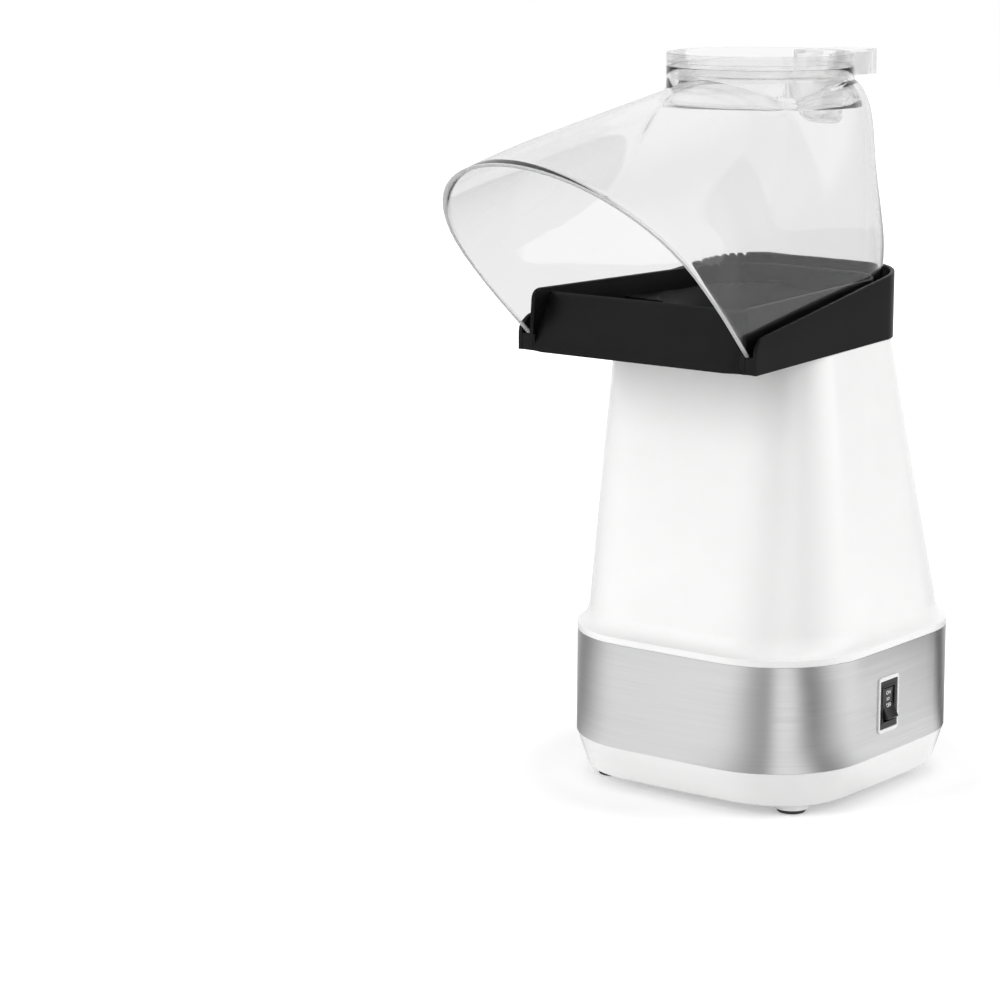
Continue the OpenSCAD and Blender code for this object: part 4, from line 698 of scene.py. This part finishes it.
def chute_floor():
    """Ramp and sloping floor as one bent sheet, with slanted faces at the sides of the ramp."""
    top = [(-134.6, 265.7), (-134.3, 267.0), (-130.3, 276.8), (-123.3, 293.9), (-122.3, 296.6),
           (-121.6, 297.9), (-120.6, 298.5), (-119.4, 298.3), (-117.5, 297.5), (-100, 291.0), (-80, 283.5),
           (CHUTE_HEAD_Y, 275.2)]
    under = [(-60, 272.8), (-100, 287.6), (-117, 293.6), (-119.8, 293.4), (-121.4, 291.6), (-132.2, 265.7)]
    ends = len(CHAMFER_STEPS)
    cols = 2 * ends + 5
    sections = []
    for c in range(cols):
        k = min(c, cols - 1 - c)
        section = []
        for y, z in top + under:
            half = half_width(y, FLOOR_IN) + splay(y, 301 - z)
            foot = clamp01((298.0 - z) / 32.0) * clamp01((-y - 112.0) / 9.0)
            facet = lerp(1.5, 11.0, foot)
            if k < ends:
                inset = facet * CHAMFER_STEPS[k] / CHAMFER_STEPS[-1]
            else:
                inset = facet + (half - facet) * (k - ends + 1) / 3.0
            bow = 3.6 * foot * clamp01(inset / facet)
            section.append(((half - inset) * (1 if 2 * c > cols - 1 else -1), y - bow, z))
        sections.append(section)
    return rings_mesh("chute_floor", sections, sharp=28)


def reach(edge, dx, dy):
    """How far it is from the chamber's axis to an edge or the chute's head in a direction."""
    best = (CHUTE_HEAD_Y - AIR_Y) / dy if dy < 0 else math.inf
    for (x0, y0), (x1, y1) in zip(edge, edge[1:]):
        ex, ey = x1 - x0, y1 - y0
        det = ex * dy - dx * ey
        if abs(det) < 1e-9:
            continue
        rx, ry = x0, y0 - AIR_Y
        t = (ex * ry - rx * ey) / det
        u = (dx * ry - dy * rx) / det
        if t > 0 and -1e-6 <= u <= 1 + 1e-6:
            best = min(best, t)
    return max(best, MOUTH_R)


def funnel():
    """The dished floor round the chamber's mouth."""
    edge = tray_path(FLOOR_IN, [0.0], arc=24, side=30, **INNER_PATH)
    count = 144
    sections = []
    for j in range(count):
        deg = 360 * j / count
        far = reach(edge, *polar(1.0, deg))
        r1, r2 = min(MOUTH_R, far), min(DISH_R, far)
        slope_top = GROOVE + DISH_RISE * (r2 - MOUTH_R) / (DISH_R - MOUTH_R)
        shelf = slope_top + (0.3 if far > DISH_R else 0)
        section = [(r1, GROOVE - 3.5), (r1, GROOVE - 0.8), (min(MOUTH_R + 0.5, far), GROOVE + 0.3),
                   (r2, slope_top), (min(far, max(r2, DISH_R + 1)), shelf), (far, shelf), (far, GROOVE - 3.5)]
        sections.append([(*polar(r, deg, AIR_AXIS), z) for r, z in section])
    return rings_mesh("funnel", transpose(sections), closed=True, sharp=30)


def tray_seat():
    """Spigot inside the shell, and the plate that rests on it."""
    spigot = [at_z(tower_outline(SHELL_TOP, inset), z)
              for inset, z in ((2.7, 257.5), (2.7, 273.5), (5.1, 273.5), (5.1, 257.5))]
    plate = rings_mesh("plate", [at_z(tower_outline(SHELL_TOP, 3), z) for z in (272.7, 274.8)])
    boolean(plate, cylinder("mouth", MOUTH_R, 260, 290), "DIFFERENCE")
    return [rings_mesh("spigot", spigot, closed=True), plate]


def tray():
    parts = [
        wall("outer_wall", 0, lambda y: SHELL_TOP, outer_top, splayed=False, edge=0.6),
        wall("inner_wall", INNER_IN, inner_foot, inner_top, splayed=True, edge=0.9, **INNER_PATH),
        groove_floor(),
    ]
    for s in (-1, 1):  # front faces beside the ramp
        x0, x1 = sorted((s * 70.2, s * 81.0))
        parts.append(bevel(box_mesh("face", (x0, -134.5, SHELL_TOP), (x1, -132.4, 274.9)), 0.25))
    parts += [chute_floor(), funnel()] + tray_seat()
    moulding = join("chute_tray_moulding", parts)
    shade(moulding, 34)
    return moulding


dress(tray(), "black_satin", "housing", "chute_tray")

# -------------------------- hood

NECK_R, NECK_LOW, NECK_TOP = 54.4, 401.5, 424.5
HOOD_T = 2.2
SKIRT_R, SKIRT_H = 59.0, 8.5
HOOD_W, HOOD_BACK = 63.0, 52.3  # half width at y 0 and rear of the walls in the groove
WAIST_Z, WAIST_H = 280.0, 50.0  # the walls take their upper plan over this stretch
VISOR_Y, VISOR_W = -150.0, 78.6  # the upper half width in front
TOWER_W, TOWER_BACK = 67.1, 48.5  # the upper half width at y 0 and the upper rear
VAULT_Z, VAULT_SLOPE, VAULT_H = 429.5, 0.165, 79.0
VAULT_Y, ROOF_Y, ROOF_Z = -53.5, 10.9, 421.0  # the vault turns into the roof between the first two
EYE_Z = 325.0  # lines from this height on the cup's axis find the hood's walls


def hood_side(x, y, z, t):
    """Below 0 inside the hood's wall at inset t, above 0 outside it: superellipses in plan and in height."""
    roofed = smooth((y - VAULT_Y) / (ROOF_Y - VAULT_Y))
    raised = smooth((z - WAIST_Z) / WAIST_H)
    q = lerp(4.2, 2.3, smooth((z - WAIST_Z) / (2 * WAIST_H)))
    upper_w = lerp(VISOR_W, TOWER_W, clamp01((y - VISOR_Y) / -VISOR_Y))
    w = lerp(HOOD_W - TR_K * y, upper_w, raised) - t
    rear = lerp(HOOD_BACK, TOWER_BACK, raised) - t
    vault = VAULT_Z + VAULT_SLOPE * y - 2.6 * clamp01((-y - 190.0) / 64.0) ** 2
    top = lerp(vault, ROOF_Z, roofed) - t
    foot = lerp(vault - VAULT_H, GROOVE, roofed)
    n = lerp(2.0, 7.4, roofed)
    along_y = clamp01((y - AIR_Y) / (rear - AIR_Y))
    plan = ((abs(x) / w) ** q + along_y ** q) ** (1 / q)
    up = max(z - foot, 0.0) / (top - foot)
    return plan ** n + up ** n - 1


def crossing(a, b, t):
    """Where the line from a, inside, to b, outside, meets the hood's wall at inset t."""
    for _ in range(34):
        m = [(p + q) / 2 for p, q in zip(a, b)]
        if hood_side(*m, t) < 0:
            a = m
        else:
            b = m
    return m


def on_mouth(ca, sa, z):
    """The point of the mouth's plane at a height, in a direction from the cup's axis."""
    y = -MOUTH_Y - MOUTH_LEAN * (z - GROOVE)
    return [ca * (y - AIR_Y) / sa, y, z]


def hood_column(deg, in_mouth, t, rows):
    """Points up the hood's wall at inset t, from the groove or the mouth's rim to the neck."""
    ca, sa = polar(1.0, deg)
    if in_mouth:
        foot = crossing(on_mouth(ca, sa, GROOVE - 20), on_mouth(ca, sa, 440.0), t)
    else:
        foot = crossing([0, AIR_Y, GROOVE], [*polar(400, deg, AIR_AXIS), GROOVE], t)
    x, y = polar(NECK_R, deg, AIR_AXIS)
    head = crossing([x, y, EYE_Z], [x, y, 450.0], t)
    eye = (0.0, AIR_Y, EYE_Z)
    column = [foot]
    for i in range(1, rows):
        f = i / rows
        aim = [lerp(p, q, f * (1.5 - 0.5 * f)) - e for p, q, e in zip(foot, head, eye)]
        column.append(crossing(eye, [e + 3 * v for e, v in zip(eye, aim)], t))
    return column + [head]


def hood_columns(t):
    """Columns all round, dense at the rear corners, from the mouth's left end on."""
    rows, mouth_cols, side_cols, rear_cols = 30, 48, 84, 120
    corner = 45.0
    a0 = math.degrees(math.atan2(-(MOUTH_Y + AIR_Y), HOOD_W + TR_K * MOUTH_Y - t))
    mouth = [lerp(-180 - a0, a0, j / mouth_cols) for j in range(mouth_cols + 1)]
    side = [lerp(a0, corner, 1 - (1 - j / side_cols) ** 1.7) for j in range(1, side_cols + 1)]
    rear = [lerp(corner, 180 - corner, smooth(j / rear_cols)) for j in range(1, rear_cols)]
    walls = side + rear + [180 - deg for deg in reversed(side)]
    columns = [hood_column(deg, True, t, rows) for deg in mouth]
    return columns + [hood_column(deg, False, t, rows) for deg in walls]


def skirt_reach(deg):
    """How far the neck's foot flares out in a direction: it stays under the roof."""
    lo, hi = NECK_R, SKIRT_R
    for _ in range(24):
        mid = (lo + hi) / 2
        if hood_side(*polar(mid, deg, AIR_AXIS), NECK_LOW + 2.5, HOOD_T + 0.5) < 0:
            lo = mid
        else:
            hi = mid
    return lo - NECK_R


def neck_section(deg, outer_z, inner_z):
    """The neck from the roof up, over its edge, down to its flared foot below the roof and back up."""
    out = skirt_reach(deg)
    low, top, r, ri = NECK_LOW, NECK_TOP, NECK_R, NECK_R - HOOD_T
    knee = min(low + SKIRT_H, max(inner_z - 1.0, low + 1.5))
    steps = [(r, outer_z + 1.0), (r, top - 2.0), (r, top - 0.45), (r - 0.15, top - 0.12), (r - 0.5, top),
             (ri + 0.5, top), (ri + 0.15, top - 0.12), (ri, top - 0.45), (ri, top - 6), (ri, knee + 0.8),
             (ri + 0.55 * out, low + 3.2), (ri + 0.9 * out, low + 1.0), (ri + out + 0.3, low + 0.2),
             (ri + out + 0.8, low), (r + out - 0.8, low), (r + out - 0.25, low + 0.2), (r + out, low + 0.8),
             (r + 0.85 * out, low + 2.2), (r + 0.4 * out, lerp(low + 2.2, knee, 0.55)), (r, knee)]
    return [(*polar(d, deg, AIR_AXIS), z) for d, z in steps]


def foot_cap(outer, inner):
    """The rounded edge between the two feet of a column, from the inner face to the outer one."""
    o0, o1, i0, i1 = (Vector(p) for p in (*outer[:2], *inner[:2]))
    across = i0 - o0
    edge = ((0.5, 0.0), (0.82, 0.0), (0.96, 0.12), (1.0, 0.45))
    cap = [o0 + across * f + (i1 - i0).normalized() * up for f, up in reversed(edge)]
    return cap + [o0 + across * (1 - f) + (o1 - o0).normalized() * up for f, up in edge[1:]]


def hood():
    sections = []
    for outer, inner in zip(hood_columns(0.0), hood_columns(HOOD_T)):
        x, y, z = outer[-1]
        neck = neck_section(math.degrees(math.atan2(y - AIR_Y, x)), z, inner[-1][2])
        section = outer[1:] + neck + inner[:0:-1] + foot_cap(outer, inner)
        sections.append([tuple(p) for p in section])
    return rings_mesh("hood_moulding", transpose(sections), closed=True, sharp=50)


dress(hood(), "clear_hood", "hood", "hood")

# -------------------------- measuring cup

RIM_Z, DISH_Z, POCKET_Z = 432.0, 417.0, 391.0
PLUG_R, POCKET_R, CUP_T = 51.9, 48.2, 2.0
POCKET_CHORD, POCKET_LEAN, POCKET_TURN, POCKET_SLOPE = 13.5, 9.0, math.radians(35), 0.16
FOOT_U = POCKET_CHORD + POCKET_LEAN
FOOT_Z = POCKET_Z + POCKET_SLOPE * (POCKET_R - FOOT_U)
TAB_W, TAB_L, TAB_H, TAB_T = 27.6, 44.4, 15.0, 2.0
TAB_TOP, TAB_TURN = RIM_Z - 1.4, math.radians(-2.8)


def pocket_ring(foot_z, inset):
    """D-shaped section of the pocket with rounded corners between its arc and its leaning flat side.

    The section is level at the dish and slopes with the pocket's floor at its foot.
    """
    rise = clamp01((foot_z - FOOT_Z) / (DISH_Z - FOOT_Z))
    flat = FOOT_U - POCKET_LEAN * rise + inset
    tilt = POCKET_SLOPE * (1 - rise)
    r = POCKET_R - inset
    corner = max(6.0 - inset, 1.0)
    # the corners' circles lie inside the arc and touch the flat side
    cu = flat + corner
    cv = math.sqrt(max((r - corner) ** 2 - cu ** 2, 1.0))
    beta = math.degrees(math.atan2(cv, cu))
    pts = [polar(r, lerp(-beta, beta, i / 40)) for i in range(41)]
    pts += [polar(corner, lerp(beta, 180, i / 8), (cu, cv)) for i in range(1, 9)]
    pts += between((flat, cv), (flat, -cv), 10)
    pts += [polar(corner, lerp(180, 360 - beta, i / 8), (cu, -cv)) for i in range(8)]
    ct, st = math.cos(POCKET_TURN), math.sin(POCKET_TURN)
    return [(u * ct - v * st, AIR_Y + u * st + v * ct, foot_z - tilt * (u - FOOT_U)) for u, v in pts]


def pocket(inset, top):
    fillet = 3.4 - inset * 0.6
    rings = []
    for a in (0, 20, 40, 60, 90):
        over, up = polar(fillet, a)
        rings.append(pocket_ring(FOOT_Z + inset + fillet - over, inset + fillet - up))
    rings += [pocket_ring(z, inset) for z in (403, 410, top)]
    return rings_mesh("pocket", rings)


def dish(t, top):
    """The dish's section at a distance from its outer face, up to a height."""
    foot = DISH_Z + t
    if t:
        ledge = [(PLUG_R - t, NECK_TOP + t, 0.2), (NECK_R - t, NECK_TOP + t + 0.3, 0.3), (NECK_R - t, top, 0)]
    else:
        ledge = [(PLUG_R, NECK_TOP + 0.3, 0.2), (NECK_R, NECK_TOP + 0.02, 0.3), (NECK_R, top, 0.5)]
    return fillet_profile([(0, foot, 0), (PLUG_R - t, foot, 5.5 - t / 2)] + ledge + [(0, top, 0)], 7)


def tab_box(half, v0, v1, z0, z1):
    """A block of the handle, which points away from the cup's axis a little past +Y."""
    turn = Matrix.Translation((0, AIR_Y * MM, 0)) @ Matrix.Rotation(TAB_TURN, 4, "Z")
    return place(box_mesh("tab", (-half, v0, z0), (half, v1, z1)), turn)


def handle():
    """A trough that is open below and hooks over the neck's edge."""
    tip = NECK_R + TAB_L
    tab = tab_box(TAB_W / 2, 48.0, tip, TAB_TOP - TAB_H, TAB_TOP)
    boolean(tab, tab_box(TAB_W / 2 - TAB_T, 40.0, tip - 2.4, 400.0, TAB_TOP - TAB_T), "DIFFERENCE")
    boolean(tab, cylinder("neck", NECK_R + 0.5, 400, NECK_TOP, 112), "DIFFERENCE")
    return bevel(tab, 0.5)


def cup():
    solid = lathe("cup_moulding", dish(0, RIM_Z), 112, sharp=30)
    boolean(solid, pocket(0.0, 420.5), "UNION")
    boolean(solid, handle(), "UNION")
    inner = lathe("inner", dish(CUP_T, RIM_Z + 3), 112, sharp=30)
    boolean(inner, pocket(CUP_T, 421.0), "UNION")
    boolean(solid, inner, "DIFFERENCE")
    shade(solid, 38)
    return solid


dress(cup(), "clear_cup", "cup", "measuring_cup")

# -------------------------- switch

ROCK_X, ROCK_TILT = 92.5, math.radians(-12)
WINDOW_W, WINDOW_H = 12.2, 20.6
ROCK_HALF, ROCK_WIDE = 9.0, 11.6
REST = Matrix.Translation((ROCK_X * MM, SW_Y * MM, SW_Z * MM)) @ Matrix.Rotation(ROCK_TILT, 4, "Y")


def face_rings(*steps):
    """Rounded rectangles on the switch's face, each as (width, height, corner radius, distance)."""
    rings = []
    for w, h, r, x in steps:
        outline = sum(corner_arcs(w / 2, h / 2, r, 8), [])
        rings.append([(x, SW_Y + u, SW_Z + v) for u, v in outline])
    return rings


def bezel():
    rings = face_rings((22, 33.6, 2.6, 94.35), (22, 33.6, 2.6, 94.9), (21.8, 33.4, 2.5, 95.2),
                       (21.3, 32.9, 2.3, 95.36), (20.7, 32.3, 2.1, 95.4), (19.6, 29.8, 1.0, 95.4),
                       (19.1, 29.1, 0.8, 95.3), (18.9, 28.9, 0.7, 95.1), (18.9, 28.9, 0.7, 94.35))
    return rings_mesh("switch_frame", rings, closed=True, sharp=40)


dress(bezel(), "bezel_grey", "housing", "switch_bezel")


def panel():
    face = face_rings((18.6, 28.6, 0.6, 94.2), (18.6, 28.6, 0.6, 94.8), (18.2, 28.2, 0.5, 95.0))
    plate = rings_mesh("panel", face, sharp=40)
    boolean(plate, switch_block(90, 99, WINDOW_W, WINDOW_H), "DIFFERENCE")
    rim = face_rings((14.6, 23.0, 0.9, 94.8), (14.6, 23.0, 0.9, 95.2), (14.2, 22.6, 0.8, 95.35),
                     (12.5, 20.9, 0.5, 95.35), (WINDOW_W, WINDOW_H, 0.4, 95.2),
                     (WINDOW_W, WINDOW_H, 0.4, 94.8))
    lip = rings_mesh("lip", rim, closed=True, sharp=40)
    body = boolean(switch_block(74.5, 94.3, 17, 27), switch_block(87.5, 99, WINDOW_W, WINDOW_H), "DIFFERENCE")
    return join("switch_panel", [plate, lip, body])


dress(panel(), "switch_black", "housing", "switch_body")


def rocker_face(v):
    """How far the rocker's dished face stands out at a height, and its slope there."""
    f = abs(v) / ROCK_HALF
    return 2.2 + 2.2 * f ** 1.25, math.copysign(2.2 * 1.25 * f ** 0.25 / ROCK_HALF, v)


def rocker():
    """A dished rocker with rounded edges on its pin, in its rest place."""
    heights = [lerp(ROCK_HALF, -ROCK_HALF, i / 20) for i in range(21)]
    back = [(3.6, -9.25), (-0.5, -8.6), (-3, -3), (-3, 3), (-0.5, 8.6), (3.6, 9.25)]
    loop = [(rocker_face(v)[0], v) for v in heights] + back
    cap = rings_mesh("cap", [[(u, y, v) for u, v in loop] for y in (-ROCK_WIDE / 2, ROCK_WIDE / 2)])
    bevel(cap, 0.45, 3, 50)
    pin = fillet_profile([(0, -7.2, 0), (1.2, -7.2, 0.2), (1.2, 7.2, 0.2), (0, 7.2, 0)])
    pin = place(lathe("pin", pin, 24, ORIGIN), along((0, 1, 0)))
    return place(join("switch_rocker_cap", [cap, pin]), REST)


dress(rocker(), "rocker_black", "rocker", "switch_rocker")


def legend(text, v, size):
    """A short mark laid on the rocker's face at height v."""
    curve = bpy.data.curves.new("legend", "FONT")
    curve.body = text
    curve.size = size * MM
    curve.align_x = "CENTER"
    curve.align_y = "CENTER"
    curve.extrude = 0.02 * MM
    curve.offset = 0.035 * MM
    drawn = bpy.data.objects.new("legend", curve)
    bpy.context.scene.collection.objects.link(drawn)
    bpy.context.view_layer.update()
    mesh = bpy.data.meshes.new_from_object(drawn.evaluated_get(bpy.context.evaluated_depsgraph_get()))
    bpy.data.objects.remove(drawn)
    mark = bpy.data.objects.new("legend_" + "".join(c for c in text.lower() if c.isalnum()), mesh)
    bpy.context.scene.collection.objects.link(mark)
    u, slope = rocker_face(v)
    across = Vector((0, 1, 0))
    upwards = Vector((slope, 0, 1)).normalized()
    lie = Matrix((across, upwards, across.cross(upwards))).transposed().to_4x4()
    lie.translation = Vector((u + 0.03, 0, v)) * MM
    place(mark, REST @ lie)
    coat_with(mark, "legend_white")
    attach(mark, "rocker")


legend("ON", 6.0, 3.0)
legend("I/O", 2.3, 2.4)
legend("OFF", -1.4, 3.0)

# -------------------------- floor, world, lights and camera

# what polished metal sees round the object: flags as (start, middle, end, brightness), azimuths in degrees
FLAGS = ((45, 66, 108, 0.14), (130, 180, 236, 0.32), (258, 299, 312, 0.42), (320, 338, 378, 0.26))
FLAG_SEAM = 120.0  # an azimuth without a flag, where the ramp starts and ends
SHELL_LIGHT = 0.60
FLOOR_R = 6000.0
SHADOW_R, CLEAR_R = 0.13, 0.32  # the floor brightens between these distances from the object


def flag_tone(g, direction):
    """Brightness by direction round the object: white, but for the flags."""
    parts = g.node("SeparateXYZ", {0: direction})
    turn = g.node("Math", {0: parts.outputs["Y"], 1: parts.outputs["X"]}, operation="ARCTAN2")
    seam = math.radians(FLAG_SEAM)
    wrap = g.node("Math", {0: turn.outputs[0], 1: seam + 2 * math.pi, 2: seam}, operation="WRAP")
    shade_of = g.node("ValToRGB", {"Fac": g.remap(wrap.outputs[0], 0, 1, seam, seam + 2 * math.pi)})
    stops = []
    for start, middle, end, level in FLAGS:
        turned = (start - FLAG_SEAM) % 360 - start
        stops += [((turned + at) / 360, tone) for at, tone in ((start, 1.0), (middle, level), (end, 1.0))]
    stops.sort()
    ramp = shade_of.color_ramp
    ramp.interpolation = "EASE"
    for _ in range(len(stops) - 2):
        ramp.elements.new(0.5)
    # all places first, because a ramp sorts its elements again when one moves
    for element, (at, _) in zip(ramp.elements, stops):
        element.position = at
    for element, (_, level) in zip(ramp.elements, stops):
        element.color = (level, level, level, 1)
    return shade_of.outputs["Color"]


def seen_by(g, *kinds):
    """1 for rays of the given kinds, else 0."""
    path = g.node("LightPath")
    total = path.outputs[kinds[0]]
    for kind in kinds[1:]:
        total = g.node("Math", {0: total, 1: path.outputs[kind]}, operation="MAXIMUM").outputs[0]
    return total


def floor_material():
    """Plain for the light that it throws on the object, flagged in polished metal, white through clear walls.

    The camera sees a pale floor that turns white away from the object's soft shadow. A bent ray counts as
    glossy too, so the mix for transmission follows the one for glossy rays.
    """
    mat = bpy.data.materials.new("floor")
    mat.use_nodes = True
    g = Nodes(mat.node_tree)
    spot = g.node("TexCoord").outputs["Object"]
    plain = g.node("BsdfDiffuse", {"Color": (0.80, 0.80, 0.80, 1)}).outputs[0]
    pale = g.node("BsdfDiffuse", {"Color": (0.70, 0.70, 0.70, 1)}).outputs[0]
    away = g.node("VectorMath", {0: spot}, operation="LENGTH").outputs["Value"]
    lift = g.node("Emission", {"Strength": g.remap(away, 0.34, 0.95, SHADOW_R, CLEAR_R)}).outputs[0]
    shown = g.node("AddShader", {0: pale, 1: lift}).outputs[0]
    mirrored = g.node("Emission", {"Color": flag_tone(g, spot)}).outputs[0]
    white = g.node("Emission").outputs[0]
    thrown = g.blend(seen_by(g, "Is Glossy Ray"), plain, mirrored)
    passed = g.blend(seen_by(g, "Is Transmission Ray"), thrown, white)
    g.node("OutputMaterial", {"Surface": g.blend(seen_by(g, "Is Camera Ray"), passed, shown)})
    return mat


floor = rings_mesh("floor", [[(*polar(FLOOR_R, 360 * j / 64), z) for j in range(64)] for z in (-2, 0)])
floor.data.materials.append(floor_material())


def studio_world():
    """Soft light on the object, flags in polished metal, white behind the object and through clear walls."""
    world = bpy.data.worlds.new("studio")
    bpy.context.scene.world = world
    world.use_nodes = True
    g = Nodes(world.node_tree)
    plain_white = {"Color": (1, 1, 1, 1)}
    soft = g.node("Background", {**plain_white, "Strength": SHELL_LIGHT}).outputs[0]
    white = g.node("Background", plain_white).outputs[0]
    way = g.node("TexCoord").outputs["Generated"]
    flagged = g.node("Background", {"Color": flag_tone(g, way)}).outputs[0]
    thrown = g.blend(seen_by(g, "Is Glossy Ray"), soft, flagged)
    seen = g.blend(seen_by(g, "Is Camera Ray", "Is Transmission Ray"), thrown, white)
    g.node("OutputWorld", {"Surface": seen})


studio_world()


def area_light(name, stand, size_x, size_y, power):
    """A soft lamp that points at the body. Mirrors and clear walls don't show it."""
    data = bpy.data.lights.new(name, "AREA")
    data.shape = "RECTANGLE"
    data.size = size_x
    data.size_y = size_y
    data.energy = power
    lamp = bpy.data.objects.new(name, data)
    bpy.context.scene.collection.objects.link(lamp)
    lamp.location = stand
    lamp.rotation_euler = (Vector((0, 0, 0.2)) - Vector(stand)).to_track_quat("-Z", "Y").to_euler()
    lamp.visible_glossy = False
    lamp.visible_transmission = False


area_light("key_front", (-0.85, -1.65, 0.9), 0.9, 1.2, 19)
area_light("side_right", (1.44, 0.77, 0.8), 0.8, 1.2, 15)
area_light("top_soft", (0.0, -0.1, 1.9), 1.6, 1.6, 7)

# the camera as it was fitted to the photo
CAMERA_AT = (1.0275, -1.5681, 0.5381)
YAW, PITCH = math.radians(38.07), math.radians(11.27)
FOCAL_PX, PHOTO_PX, SENSOR = 3186.6, 1000.0, 36.0


def photo_camera():
    ahead = Vector((-math.sin(YAW) * math.cos(PITCH), math.cos(YAW) * math.cos(PITCH), -math.sin(PITCH)))
    right = Vector((math.cos(YAW), math.sin(YAW), 0))
    data = bpy.data.cameras.new("camera")
    data.sensor_width = SENSOR
    data.lens = SENSOR * FOCAL_PX / PHOTO_PX
    data.clip_end = 50
    camera = bpy.data.objects.new("camera", data)
    bpy.context.scene.collection.objects.link(camera)
    turn = Matrix((right, right.cross(ahead), -ahead)).transposed()
    camera.matrix_world = Matrix.Translation(CAMERA_AT) @ turn.to_4x4()
    bpy.context.scene.camera = camera


photo_camera()
bpy.context.scene.view_settings.view_transform = "Standard"
